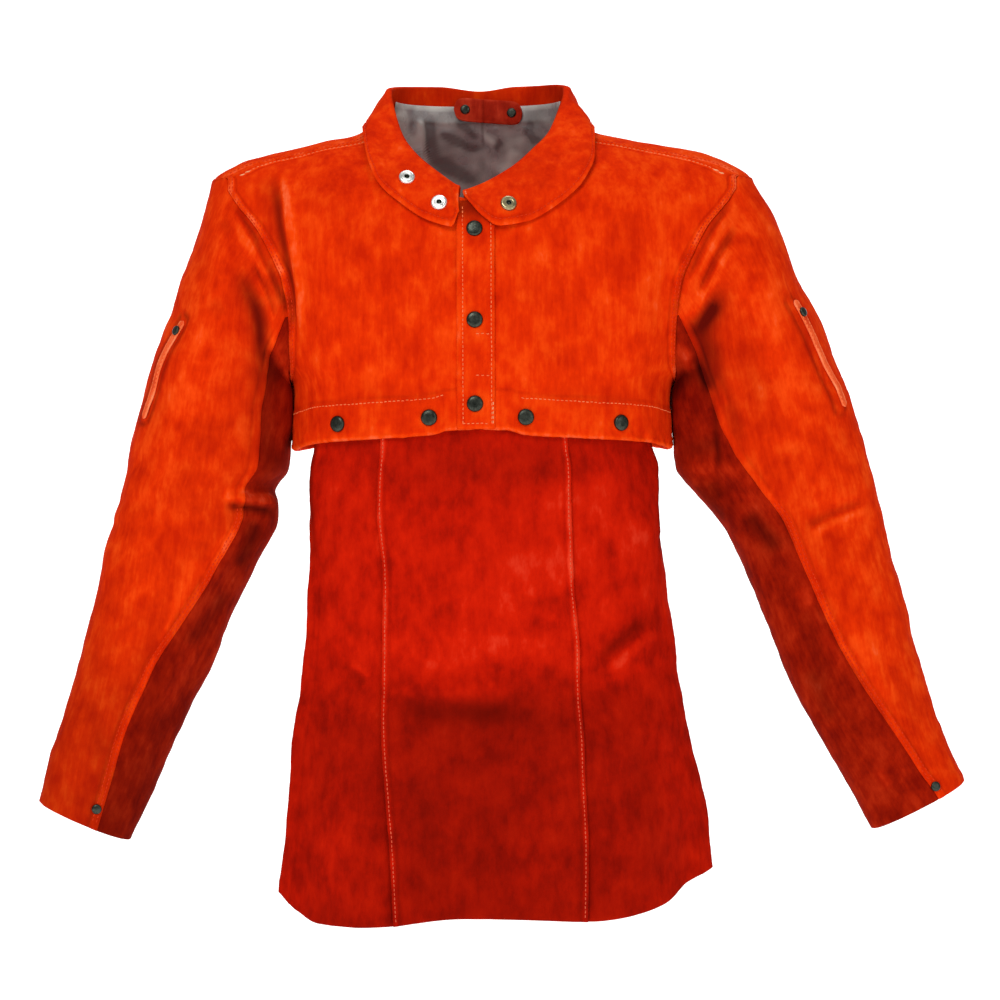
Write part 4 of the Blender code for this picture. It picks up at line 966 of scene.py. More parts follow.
def suede(name, *colours, brushed=0.27):
    """Split leather with a brushed nap: streaked and mottled, with painted shade in creases and
    painted highlights on ridges, both read from the tone. The colours run from the painted shade
    of the deepest crease to the palest scuff, which painted highlights also reach."""
    made = Shading(name)
    place, nap, tone = made.place(), made.attribute("nap", "Vector"), made.attribute("tone", "Fac")
    clouds = made.noise(place, 27, 3, 0.5)
    flecks = made.noise(place, 1.0, 3, 0.6, stretch=(85, 85, 48))
    streaks = made.noise(nap, 1.0, 2, 0.5, stretch=(235, 24, 235))
    fibres = made.noise(nap, 1.0, 2, 0.6, stretch=(700, 150, 700))
    pores = made.noise(place, 1500, 2, 0.5)
    value = made.calc("ADD", made.calc("MAXIMUM", tone, -0.03), 0.5)
    for part, weight in ((clouds, 0.6), (flecks, 0.66), (streaks, brushed), (fibres, 0.12)):
        offset = made.calc("MULTIPLY", made.calc("SUBTRACT", part, 0.5), weight)
        value = made.calc("ADD", value, offset)
    # Mottled colour, lifted to the palest colours by painted highlights where the tone is positive
    wear_and_painted_light = made.colours(value, tuple(zip((0.3, 0.5, 0.68, 1.0), colours[1:])))
    # Painted shade: towards the deepest colour where the tone is negative
    hollow = made.calc("MULTIPLY", tone, -1.25, clamp=True)
    return made.finish(
        (
            (flecks, 0.3, 0.0008),
            (streaks, 0.12, 0.0005),
            (fibres, 0.12, 0.0003),
            (pores, 0.15, 0.0002),
        ),
        Base_Color=made.mix(hollow, wear_and_painted_light, colours[0]),
        Roughness=made.spread(flecks, -4.0, 1.2),
        Specular_IOR_Level=0.02,
        Sheen_Weight=0.02,
        Sheen_Roughness=0.5,
        Sheen_Tint=(1.0, 0.20, 0.05),
    )


def thread(name, base, dark):
    made = Shading(name)
    place = made.place()
    twist = made.spread(made.noise(place, 900, 2), 0.3, 0.7)
    wear = made.spread(made.noise(place, 60, 3), 0.35, 0.65)
    colour = made.mix(made.calc("MULTIPLY", wear, 0.7), base, dark)
    return made.finish(
        ((twist, 0.5, 0.0002),),
        Base_Color=made.mix(made.calc("MULTIPLY", twist, 0.4), colour, dark),
        Roughness=made.spread(twist, -2.0, 1.5),
        Specular_IOR_Level=0.1,
    )


def satin(name):
    """Grey satin, with painted highlights on its folds and painted shade in its hollows, from the
    tone.
    """
    made = Shading(name)
    nap, tone = made.attribute("nap", "Vector"), made.attribute("tone", "Fac")
    clouds = made.spread(made.noise(made.place(), 38, 3), 0.35, 0.65)
    weave = made.spread(made.noise(nap, 1.0, 2, 0.5, stretch=(2600, 500, 60)), 0.3, 0.7)
    colour = made.mix(clouds, (0.205, 0.180, 0.178), (0.275, 0.260, 0.238))
    colour = made.mix(made.calc("MULTIPLY", weave, 0.35), colour, (0.12, 0.11, 0.11))
    # Painted highlight where the tone is positive, painted shade where it is negative
    for sign, shade in ((1.0, (0.55, 0.53, 0.48)), (-1.0, (0.03, 0.026, 0.026))):
        colour = made.mix(made.calc("MULTIPLY", tone, sign, clamp=True), colour, shade)
    return made.finish(
        ((clouds, 0.3, 0.0008), (weave, 0.25, 0.00015)),
        Base_Color=colour,
        Roughness=made.spread(clouds, -1.6, 5.5),
        Specular_IOR_Level=0.6,
        Sheen_Weight=0.15,
    )


def metal(name, base, dark, rough=0.30):
    made = Shading(name)
    place = made.place()
    scuffs = made.spread(made.noise(place, 420, 4, 0.65), 0.42, 0.62)
    haze = made.spread(made.noise(place, 130, 2), 0.35, 0.65)
    return made.finish(
        ((scuffs, 0.12, 0.0002),),
        Base_Color=made.mix(made.calc("MULTIPLY", scuffs, 0.5), base, dark),
        Metallic=1.0,
        Roughness=made.spread(haze, -rough * 3, 1 / rough),
    )


# Each suede's first colour is the painted shade of its deepest creases, and its last the palest
# scuff, which painted highlights also reach
PALE = (0.90, 0.150, 0.050)
CAPE_LOOK = "cape_suede", suede(
    "suede_cape",
    (0.12, 0.004, 0.001), (0.55, 0.014, 0.0003), (0.69, 0.026, 0.0005), (0.80, 0.052, 0.002), PALE
)
SLEEVE_LOOK = "sleeve_suede", suede(
    "suede_sleeve",
    (0.10, 0.003, 0.001), (0.53, 0.014, 0.0003), (0.68, 0.027, 0.0006), (0.80, 0.056, 0.003), PALE
)
# Darker copy of the sleeve suede for the under panels: painted shade for their side, which faces in
# and down
SHADED_UNDER_LOOK = "sleeve_suede", suede(
    "suede_under",
    (0.035, 0.001, 0.0005), (0.20, 0.004, 0.0006), (0.33, 0.010, 0.0010), (0.45, 0.021, 0.003),
    (0.66, 0.080, 0.030)
)
# Deeper red than the cape: partly the bib's own deeper dye, partly painted shade
BIB_LOOK = "bib_suede", suede(
    "suede_bib",
    (0.08, 0.002, 0.0005), (0.29, 0.0040, 0.0007), (0.45, 0.0070, 0.0008), (0.56, 0.011, 0.0012),
    (0.74, 0.050, 0.018), brushed=0.12
)
STRAP_LOOK = "strap_leather", suede(
    "suede_strap",
    (0.40, 0.012, 0.002), (0.74, 0.060, 0.014), (0.84, 0.105, 0.028), (0.90, 0.150, 0.045),
    (0.96, 0.280, 0.120)
)
TAB_LOOK = "tab_leather", suede(
    "leather_tab",
    (0.06, 0.003, 0.001), (0.20, 0.008, 0.003), (0.31, 0.014, 0.005), (0.42, 0.028, 0.010),
    (0.60, 0.070, 0.030)
)
SATIN_LOOK = "grey_satin", satin("satin_grey")
DARK_LOOK = "dark_metal", metal("metal_dark", (0.055, 0.062, 0.050), (0.012, 0.013, 0.011), 0.32)
BRIGHT_LOOK = "bright_metal", metal("metal_bright", (0.90, 0.90, 0.87), (0.62, 0.62, 0.58))
BRASS_LOOK = "bright_metal", metal("metal_olive", (0.42, 0.36, 0.20), (0.16, 0.13, 0.07))
# Rows of stitches by the colour of their thread, and its colours, fresh and worn
PATHS = {"orange": [], "red": [], "pink": [], "cream": []}
THREADS = {
    "orange": ("strap_leather", (0.90, 0.24, 0.085), (0.80, 0.10, 0.025)),
    "red": ("strap_leather", (0.72, 0.042, 0.004), (0.56, 0.018, 0.002)),
    "pink": ("bib_suede", (0.74, 0.125, 0.060), (0.60, 0.055, 0.022)),
    "cream": ("strap_leather", (0.86, 0.46, 0.24), (0.76, 0.24, 0.10)),
}


def tone_of(shade, points, seed):
    """Tone: painted shade in creases and painted highlights on ridges, with random scuffs."""
    return np.clip(shade, -0.80, 0.22) + 0.02 * noise(points, 0.028, seed)


def cape_panel(node, levels, turns, spots, paint):
    """Shell of a front or the back. The function paint takes the grid, its normals, its edge
    distances, and gives what it adds to the relief and the tone, with painted shade and
    highlights, from the creases."""
    z = np.repeat(levels[:, None], turns.shape[1], 1)
    plain, normals = faced(lambda offset: cape_point(turns, z, offset))
    base = widened(plain)
    far = edge_distances(base)
    steady = 1 - near(base, spots, 0.020)
    creases, shade = crease_relief(base, normals, CAPE_CREASES)
    relief = (rough(base, (0.0008, 0.05, 11), (0.0003, 0.016, 12)) + creases) * steady
    relief, tone = paint(base, normals, far, relief - 0.0008 * near(base, spots, 0.016), shade)
    outer = raised(base, normals, relief)
    wall = np.where(far["bottom"] < HEM_BAND, 2 * LEATHER, LEATHER)
    inner = raised(base, normals, np.minimum(relief, 0.0008) - wall)
    shell("suede", node, outer, inner, CAPE_LOOK, tone, plumb(base))
    return outer, grid_normals(outer, normals)


def hem_relief(far):
    """Raised band of a turned-up hem, with a dip at its stitches."""
    band = 0.0010 * ramp(far, HEM_BAND + 0.001, HEM_BAND - 0.0015)
    return band - 0.0006 * line_at(far, HEM_ROW, 0.0016)


def cape_fronts():
    levels = panel_levels(False, *FRONT_ROWS)
    rows, top, armpit = len(levels), FRONT_ROWS[0], sum(FRONT_ROWS[:2])
    at = np.arange(rows)
    welt = np.interp(at, (0, 10, 20, 30), (0.0060, 0.0090, 0.0140, 0.0195))[:, None]
    shoulder = ramp(at, 33, 29)[:, None]
    beside = ((levels < -ARMHOLE_TOP + 0.001) & (levels > -ARMHOLE_BOTTOM - 0.001))[:, None]
    start = angle_at(np.where(levels > -NECK_FALL, neck_out(levels, False), SEAM_GAP / 2), levels)
    end = side_angle(levels, False) - SEAM_GAP / SIDE_HALF

    def paint(base, normals, far, relief, creases):
        relief *= ramp(far["start"], 0.0, 0.02) * 0.8 + 0.2
        relief += hem_relief(far["bottom"])
        band = np.where(beside, ramp(far["end"], *BAND_EDGE), 0)
        ridge = line_at(far["end"], welt, 0.0026) * shoulder
        ripple = pucker(base, far["end"], 0.010, 21) + pucker(base, far["bottom"] - 0.02, 0.014, 22)
        relief += 0.0011 * band + 0.0007 * ridge + 0.0003 * ripple
        relief -= 0.0006 * line_at(far["end"], 0.0090, 0.0013) * beside
        # Painted shade and highlights of the creases, and a paler armhole band
        tone = tone_of(creases, base, 31) + 0.24 * band * (0.8 + 0.5 * noise(base, 0.01, 32))
        # Paler shoulder welt, with painted shade beside it
        tone += 0.26 * ridge - 0.12 * line_at(far["end"], welt + 0.0052, 0.002) * shoulder
        # Painted top light: surfaces facing up, below the welt, are lighter
        tone += 0.10 * ramp(normals[..., 2], 0.5, 0.9) * ramp(far["end"], welt, 0.004)
        # Painted shade along the groove beside the armhole band
        tone -= 0.14 * line_at(far["end"], 0.0094, 0.0016) * beside
        # Painted shade along the top of the hem band
        tone -= 0.12 * line_at(far["bottom"], HEM_BAND + 0.0008, 0.0014)
        tone += 0.24 * line_at(far["bottom"], 0.0006, 0.0014)
        return relief, tone

    for name, side, hem_ends in (("left", -1, (0.07, 0.95)), ("right", 1, (0.10, 0.90))):
        turns = side * (start[:, None] + (end - start)[:, None] * np.linspace(0, 1, 90))
        face = cape_panel(f"cape_front_{name}", levels, turns, stud_spots("hem", "placket"), paint)
        for distance in SEAM_ROWS:
            sew("red", face, "end", distance, (top + 1) / rows, (armpit - 2) / rows)
        sew("orange", face, "end", welt[:, 0], 1 / rows, top / rows)
        sew("orange", face, "bottom", HEM_ROW, *hem_ends)
        for inward in (0.0005, -0.0010, -0.0025):
            sew("cream", face, "end", welt[:, 0] + inward, (top - 2) / rows, (top + 1) / rows)


def cape_back():
    top, side = neck_level(NECK_BACK[-1][1]), neck_level(NECK_BACK[0][1])
    neck = np.array((0.97, 0.9, 0.83, 0.7, 0.58, 0.45, 0.33, 0.24, 0.16, 0.08, 0))
    below = side - SEAM_DROP * np.array((0.35, 0.7))
    levels = np.concatenate((side + (top - side) * neck, below, panel_levels(True, *BACK_ROWS)))
    rows, neck_rows = len(levels), len(neck) + len(below)
    arm = neck_rows + BACK_ROWS[0]
    armpit = arm + BACK_ROWS[1]
    start = side_angle(levels, True) + SEAM_GAP / SIDE_HALF
    turns = start[:, None] + 2 * (math.pi - start)[:, None] * np.linspace(0, 1, 170)
    shoulder = ((levels >= -ARMHOLE_TOP) & (levels < side - SEAM_DROP))[:, None]

    def paint(base, normals, far, relief, _):
        # The relief, as painted shade in its hollows and painted highlight on its rises
        hollow = relief / 0.018
        edge = np.minimum(far["start"], far["end"])
        relief += 0.0016 * noise(base * (1, 1, 0.35), 0.05, 41) * ramp(base[..., 1], 0.03, 0.09)
        relief += hem_relief(far["bottom"])
        lap = np.where(shoulder, ramp(edge, 0.0098, 0.0080), 0)
        band = np.where((levels < -ARMHOLE_TOP)[:, None], ramp(edge, *BAND_EDGE), 0)
        armhole = ramp(levels, -ARMHOLE_BOTTOM, -ARMHOLE_BOTTOM + 0.01)[:, None]
        ripple = pucker(base, edge, 0.010, 42) + pucker(base, far["bottom"] - 0.02, 0.014, 43)
        relief += 0.0009 * lap + 0.0011 * band * armhole
        relief += 0.0003 * ripple
        tone = tone_of(hollow, base, 44) + 0.14 * band + 0.08 * lap
        # Painted top light on surfaces facing up, and painted shade along the groove beside the
        # band
        tone += 0.10 * ramp(normals[..., 2], 0.4, 0.9) - 0.12 * line_at(edge, 0.0094, 0.0014)
        # Painted shade along the top of the hem band
        tone -= 0.12 * line_at(far["bottom"], HEM_BAND, 0.0014)
        return relief, tone

    face = cape_panel("cape_back", levels, turns, (), paint)
    for end in ("start", "end"):
        sew("red", face, end, 0.0026, (neck_rows + 2) / rows, (arm - 1) / rows)
        for distance in SEAM_ROWS:
            sew("red", face, end, distance, (arm + 3) / rows, (armpit - 3) / rows)
    sew("orange", face, "bottom", HEM_ROW, 0.01, 0.99)


def placket():
    levels = np.concatenate((np.linspace(-PLACKET_TOP, -ARMHOLE_BOTTOM, 74), hem_rows(26)))
    x, z = np.meshgrid(np.linspace(-PLACKET_LEFT, PLACKET_RIGHT, 20), levels)
    base, normals = faced(lambda offset: cape_point(form_angle(x, z), z, offset), LAYER_GAP)
    far = edge_distances(base)
    edge = np.minimum(np.minimum(far["start"], far["end"]), far["bottom"])
    relief = rough(base, (0.0006, 0.03, 51), (0.0003, 0.012, 52))
    relief += 0.0007 * ramp(edge, 0.0, 0.0060) - 0.0006 * line_at(edge, 0.0042, 0.0012)
    spots = stud_spots("placket")
    relief = relief * (1 - near(base, spots, 0.016)) - 0.0003 * near(base, spots, 0.012)
    tone = tone_of(0, base, 53) + 0.08 * ramp(edge, 0.0035, 0.0005)
    # Painted shadow of the collar over the top of the placket
    tone -= 0.60 * ramp(z, -0.090, -0.070)
    outer = raised(base, normals, LEATHER + 0.0006 + relief)
    inner = raised(base, normals, np.minimum(relief, 0.0))
    shell("suede", "placket", outer, inner, CAPE_LOOK, tone, plumb(base))
    face = outer, grid_normals(outer, normals)
    sew("orange", face, "start", 0.0052, 0.03, 0.985)
    sew("orange", face, "end", 0.0026, 0.03, 0.985)
    sew("orange", face, "bottom", 0.0045, 0.12, 0.88)
    for level in PLACKET_TACKS:
        i = int(np.abs(levels - level).argmin())
        PATHS["orange"].append(tuple(grid[i, 9:-2] for grid in face))
    sew("cream", face, "end", 0.0012, 0.86, 0.985)


def collar_grid(count):
    """Middle of the collar's wall: a row for each station, from the free edge to the foot."""
    inset = 1.5 * LEATHER + 5 * LAYER_GAP
    stations = []
    for fx, fy, fz, ex, ez, side, nx, nz, lift in COLLAR:
        edge_x, edge_z = ex * NECK_HALF, ez * COLLAR_DROP
        edge = cape_point(form_angle(edge_x, edge_z, side > 0), edge_z, lift)
        fold = np.array((fx * NECK_HALF, fy * NECK_DEPTH, fz * NECK_RISE))
        stand, foot = (
            inside_point(form_angle(nx * NECK_HALF, level, side > 0), level, inset)
            for level in (neck_level(nz), neck_level(nz) - STAND_LAP)
        )
        stations.append(np.concatenate((edge, fold, stand, foot)))
    found = np.stack(by_row(stations, np.linspace(0, len(COLLAR) - 1, count)), -1)
    edge, fold, stand, foot = (found[:, k : k + 3] for k in (0, 3, 6, 9))
    outward = unit(fold * (1, 1, 0))
    up = unit(fold - (edge + stand) / 2)
    shoulder = fold + FOLD_RADIUS * (outward - up)
    inside = fold - FOLD_RADIUS * (outward + up)
    lift = unit(outward + (0, 0, 0.5))
    length = np.linalg.norm(shoulder - edge, axis=1, keepdims=True)
    bulge = COLLAR_BULGE * np.minimum(1, length / (COLLAR_DROP / 2))
    bulge = bulge * (1 - 0.9 * ramp(np.abs(fold[:, :1]), 0.055, 0.078))
    rows = [
        edge + (shoulder - edge) * s + lift * bulge * 4 * s * (1 - s)
        for s in np.linspace(0, 1, COLLAR_FALL)
    ]
    centre = fold - FOLD_RADIUS * up
    for turn in np.linspace(0, math.pi, 9)[1:-1]:
        rise = (FOLD_RADIUS - LEATHER / 2) * math.sin(turn)
        rows.append(centre + outward * FOLD_RADIUS * math.cos(turn) + up * rise)
    rows += [inside + (stand - inside) * s for s in np.linspace(0, 1, 12)]
    rows += [stand + (foot - stand) * s for s in (0.5, 1.0)]
    return np.stack(rows, 1)


def collar():
    middle = collar_grid(300)
    normals = unit(np.cross(np.gradient(middle, axis=0), np.gradient(middle, axis=1)))
    if (normals[:, 5] * unit(middle[:, 5] * (1, 1, 0))).sum() < 0:
        normals = -normals
    far = edge_distances(middle)
    column = np.arange(middle.shape[1])[None, :]
    fall = ramp(column, COLLAR_FALL + 2, COLLAR_FALL - 2)
    inside = ramp(column, COLLAR_FALL + 2, COLLAR_FALL + 7)
    edge = np.minimum(far["start"], np.minimum(far["top"], far["bottom"]))
    relief = rough(middle, (0.0009, 0.03, 61), (0.0004, 0.012, 62))
    relief *= fall * ramp(far["start"], 0.0, 0.01)
    relief -= 0.0008 * line_at(edge, 0.0068, 0.0018) * fall
    relief += 0.0003 * pucker(middle, edge, 0.008, 63) * fall
    spots = stud_spots("collar")
    relief = relief * (1 - near(middle, spots, 0.018)) - 0.0004 * near(middle, spots, 0.014)
    tone = tone_of(0, middle, 64) + 0.06 * noise(middle, 0.022, 65) * fall
    # Paler rim, and painted shade in the groove of the edge stitches
    tone += 0.10 * ramp(edge, 0.0045, 0.0010) * fall - 0.12 * line_at(edge, 0.0072, 0.0016) * fall
    tone -= (0.26 + 0.05 * noise(middle, 0.02, 66)) * inside
    outer = raised(middle, normals, LEATHER / 2 + relief)
    inner = raised(middle, normals, np.minimum(relief, 0.0006) * 0.9 - LEATHER / 2)
    shell("suede", "collar", outer, inner, CAPE_LOOK, tone, plumb(middle))
    fine = grid_normals(outer, normals)
    sew("red", (outer, fine), "start", 0.0062, 0.01, 0.93)
    fall_face = outer[:, :COLLAR_FALL], fine[:, :COLLAR_FALL]
    sew("cream", fall_face, "bottom", 0.0020, 0.1, 0.9)


def lining():
    levels = np.linspace(LINING_TOP, -0.036, 46)
    levels = np.concatenate((levels, np.linspace(-0.038, -LINING_DROP + 0.004, 46)))
    neck = np.radians(smooth((-0.01, 0.0, 0.015, 0.03, 0.05), (80, 82, 95, 108, 108), levels))
    below = np.maximum(neck, side_angle(levels, True) + 0.14)
    start = np.where(levels < -ARMHOLE_TOP, below, neck)
    turns = start[:, None] + 2 * (math.pi - start)[:, None] * np.linspace(0, 1, 250)
    z = np.repeat(levels[:, None], turns.shape[1], 1)
    thin = LEATHER + 5 * LAYER_GAP
    inset = smooth((-0.05, 0.0, 0.02), (thin, LINING_INSET, LINING_INSET), z)
    base, inward = faced(lambda offset: inside_point(turns, z, inset + offset))
    relief = sum(0.0018 * part for _, _, part in strokes(base, LINING_CREASES, 0.25))
    relief *= ramp(base[..., 1], 0.0, 0.04)
    relief += 0.0006 * noise(base * (1, 1, 0.5), 0.022, 71) + 0.0003 * noise(base, 0.009, 72)
    top = edge_distances(base)["top"]
    seam = np.abs(base[..., 0] - LINING_SEAM)
    relief -= 0.0008 * line_at(seam, 0, 0.0012)
    # Painted shade in the hollows of the wrinkles and painted highlight on their folds
    tone = np.clip(relief / 0.0022, -0.70, 0.55)
    # Paler band along the top: the folded top edge's own paler colour, with a painted highlight
    # where its roll catches the light
    tone += 0.55 * ramp(top, 0.0046, 0.0034)
    tone -= 0.3 * line_at(seam, 0, 0.0009)
    relief = np.maximum(relief, -0.0012) * ramp(top, 0.0, 0.006)
    face = raised(base, inward, SATIN + np.maximum(relief, -0.0006))
    made = shell("satin", "lining", face, base, SATIN_LOOK, tone, nap_of(base, 7))


def hanger_tab():
    inset = LINING_INSET + SATIN + 3 * LAYER_GAP
    shares = np.linspace(-0.5, 0.5, 60)
    half = TAB_HEIGHT / 2 * np.sqrt(np.clip(1 - np.abs(shares / 0.5) ** 9, 0.05, 1))
    tilt = -shares * TAB_HEIGHT * 0.25
    z = TAB_LEVEL + tilt + half * np.linspace(1, -1, 22)[:, None]
    x = TAB_MIDDLE + shares * TAB_LENGTH + np.zeros_like(z)
    turns = form_angle(x, z, True)
    base, inward = faced(lambda offset: inside_point(turns, z, inset + offset))
    edge = np.minimum.reduce(list(edge_distances(base).values()))
    seam = np.abs(x - TAB_MIDDLE + TAB_SEAM)
    relief = 0.0007 * ramp(edge, 0.0, 0.006) - 0.0009 * line_at(seam, 0, 0.0011)
    relief += 0.0003 * noise(base, 0.01, 81)
    tone = tone_of(0, base, 82) + 0.12 * ramp(edge, 0.003, 0.0) - 0.3 * line_at(seam, 0, 0.001)
    face = raised(base, inward, LEATHER + relief)
    shell("leather", "hanger_tab", face, base, TAB_LOOK, tone, nap_of(base, 8))


def armhole_loop(side, turn):
    """Points of the armhole's edge at degrees round it."""
    count = FRONT_STEPS + BACK_STEPS
    step = ((turn - 180) * count / 360 + FRONT_STEPS) % count
    halves = []
    for back, share in ((False, step / FRONT_STEPS), (True, (count - step) / BACK_STEPS)):
        z = armhole_turn(np.clip(share, 0, 1), back)
        halves.append(cape_point(arm_side(z, back), z))
    point = np.where((step <= FRONT_STEPS)[..., None], *halves)
    return point * (side, 1, 1) + (side * 2 * SEAM_GAP, 0, 0)


def ring_point(name, ring, turn):
    """Points on the sleeve's rings, which run from the armhole to the cuff."""
    drop, out, width, lean, deep, forward, _ = by_row(SLEEVES[name], ring)
    lean, angle = np.radians(lean), np.radians(turn)
    inner = SIDE_HALF + SLEEVE_CLEAR + out * SLEEVE_REACH
    half = width * ARM_WIDTH / 2
    rise = ARM_FOLD * bumps(SLEEVE_FOLDS[name], ring, turn % 360)
    across = half + (half + rise) * signed_power(np.cos(angle), 2 / ARM_POWER)
    ahead = (deep * ARM_DEPTH + rise) * signed_power(np.sin(angle), 2 / ARM_POWER)
    x = inner + np.cos(lean) * across
    z = -ARMHOLE_BOTTOM - drop * SLEEVE_DROP + np.sin(lean) * across
    return vectors(SIDES[name] * x, -ahead - forward * ARM_FORWARD, z)


def sleeve_point(name, ring, turn):
    """Points on a sleeve's outside. ring: -1 at the armhole. turn: degrees, 0 outermost."""
    ring, turn = np.broadcast_arrays(np.asarray(ring, float), np.asarray(turn, float))
    share = np.clip(ring + 1, 0, 1)[..., None]
    loop = armhole_loop(SIDES[name], turn)
    return loop * (1 - share) + ring_point(name, np.maximum(ring, 0), turn) * share


def sleeve_normal(name, ring, turn):
    last = len(SLEEVES[name]) - 1
    ahead, behind = np.minimum(ring + 0.25, last), np.maximum(ring - 0.25, -1)
    along = sleeve_point(name, ahead, turn) - sleeve_point(name, behind, turn)
    around = sleeve_point(name, ring, turn + 3) - sleeve_point(name, ring, turn - 3)
    normal = unit(np.cross(around, along)) * SIDES[name]
    leaning = (ring < -0.5) & (normal[..., 0] * SIDES[name] > 0)
    return np.where(leaning[..., None], unit(normal * (0, 1, 1)), normal)


def sleeve_rings(name, count):
    """Rings spaced evenly along a sleeve's outer side."""
    fine = np.linspace(-1, len(SLEEVES[name]) - 1, 600)
    run = run_along((sleeve_point(name, fine, 60.0) + sleeve_point(name, fine, 150.0)) / 2)
    return np.interp(np.linspace(0, run[-1], count), run, fine)


def sleeve_relief(name, points, normals, rings):
    relief = rough(points, (0.0012, 0.055, 91), (0.0005, 0.018, 92), (0.0002, 0.008, 93))
    creases, shade = crease_relief(points, normals, SLEEVE_CREASES[name])
    steady = 1 - near(points, stud_spots(f"cuff_stud_{name}", f"arm_stud_{name}"), 0.018)
    creases = creases * ramp(rings, -1.0, -0.7)
    return (relief * ramp(rings, -1.0, 0.5) + creases) * steady, shade


def pressed(points, rings, side):
    """Sleeve's points with those beside the cape drawn against its side."""
    y, z = points[..., 1], points[..., 2]
    share = np.clip(np.abs(y) / depth(z, y > 0), 0, 1)
    cape = half_width(z) * (1 - share**FORM_POWER) ** (1 / FORM_POWER)
    gap = points[..., 0] * side - cape - 0.0007
    pull = ramp(gap, 0.026, 0.008) * ramp(rings, -0.9, -0.2)
    pull = pull * ramp(z, -CAPE_DROP - 0.006, -CAPE_DROP + 0.02)
    pull = np.where(z < -ARMHOLE_TOP - 0.1, pull, 0)
    pull = pull * ramp(z, -0.13, -0.20) * ramp(y, -0.05, -0.02)
    return points - (side, 0, 0) * (gap * pull)[..., None]


def tucked(base, side):
    """A sleeve's grid with two rows more that pass under the edge of the cape's armhole."""
    loop = base[0]
    x, y, z = loop.T
    turn = form_angle(x, z, y > 0)
    fall = faced(lambda offset: cape_point(turn, z, offset))[1]
    away = loop - np.array(ARMHOLE_MIDDLE) * (side, 1, 1)
    away = unit(away - fall * (away * fall).sum(-1, keepdims=True))
    sunk = loop - fall * 0.0030
    return np.concatenate((np.stack((sunk + away * 0.0045 - fall * 0.0002, sunk)), base))


def strap_course(name):
    """Rings, turns and places of the middle of an arm strap."""
    (ring, turn), (last_ring, last_turn) = ARM_STRAPS[name]
    share = np.linspace(0, 1, 60)
    rings, turns = ring + (last_ring - ring) * share, turn + (last_turn - turn) * share
    return rings, turns, sleeve_point(name, rings, turns)


def sleeve_panel(name, panel, rings, turns, look):
    """Shell of a sleeve's upper or under panel. The edges of the upper one lap the other."""
    side, outermost = SIDES[name], panel == "outer"
    ring = np.repeat(rings[:, None], turns.shape[1], 1)
    base, normals = sleeve_point(name, ring, turns), sleeve_normal(name, ring, turns)
    far = edge_distances(base)
    edge = np.minimum(far["start"], far["end"])
    relief, creases = sleeve_relief(name, widened(base), normals, ring)
    relief += 0.0003 * pucker(base, edge, 0.012, 94) + 0.0004 * pucker(base, far["top"], 0.016, 95)
    # Painted shade and highlights of the creases
    tone = tone_of(creases, base, 96)
    if outermost:
        lap = ramp(edge, 0.0085, 0.0068)
        relief += 0.0009 * lap - 0.0005 * line_at(edge, 0.0092, 0.0014)
        # Paler lap, and painted shade along the groove beside it
        tone += 0.07 * lap - 0.12 * line_at(edge, 0.0092, 0.0016)
    # Painted shade: darker on the inner side, which faces the body, and towards the cuff, most on
    # the left sleeve
    low = 0.30 if side < 0 else 0.06
    inner_side = ramp(180 - np.abs(turns % 360 - 180), 62, 128)
    tone -= 0.13 * inner_side + low * ramp(far["bottom"], 0.32, 0.0)
    # Painted top light on surfaces facing up
    tone += 0.08 * ramp(normals[..., 2], 0.4, 0.9)
    # Painted shadow of the arm strap on the sleeve beside it, on the front
    beside = widened(base)[..., None, (0, 2)] - strap_course(name)[2][:, (0, 2)]
    beside = np.linalg.norm(beside, axis=-1).min(-1)
    tone -= 0.40 * line_at(beside, STRAP_WIDTH / 2 + 0.0010, 0.0018) * (normals[..., 1] < 0)
    outer = pressed(raised(base, normals, relief), ring, side)
    base = pressed(base, ring, side)
    inner = raised(base, normals, np.minimum(relief, 0.001) - LEATHER)
    tops = [widened(tucked(grid, side)) for grid in (outer, inner)]
    more = ((2, 0), (0, 0))
    tone, nap = np.pad(tone, more, "edge"), np.pad(nap_of(base, side + 4), (*more, (0, 0)), "edge")
    shell("suede", f"sleeve_{panel}_{name}", *tops, look, tone, nap)
    outer = widened(outer)
    return outer, grid_normals(outer, normals)


def sleeves():
    for name in SIDES:
        rings = sleeve_rings(name, 180)
        _, _, width, _, _, _, seam = by_row(SLEEVES[name], np.maximum(rings, 0))
        margin = np.degrees(SEAM_GAP / (width * ARM_WIDTH))
        for panel, count, look in (("outer", 130, SLEEVE_LOOK), ("under", 56, SHADED_UNDER_LOOK)):
            start, end = (-seam, seam) if panel == "outer" else (seam, 360 - seam)
            wide = (end - start - 2 * margin)[:, None]
            turns = (start + margin)[:, None] + wide * np.linspace(0, 1, count)
            face = sleeve_panel(name, panel, rings, turns, look)
            if panel == "outer":
                for edge in ("start", "end"):
                    for distance in SLEEVE_ROWS:
                        sew("red", face, edge, distance, 0.42, 0.99)


def surface_tree(*names):
    """Faces of the named pieces, to cast rays at."""
    points, faces = [], []
    for name in names:
        mesh = bpy.data.objects[name].data
        start = len(points)
        points += [v.co.copy() for v in mesh.vertices]
        faces += [tuple(start + k for k in f.vertices) for f in mesh.polygons]
    return BVHTree.FromPolygons(points, faces)


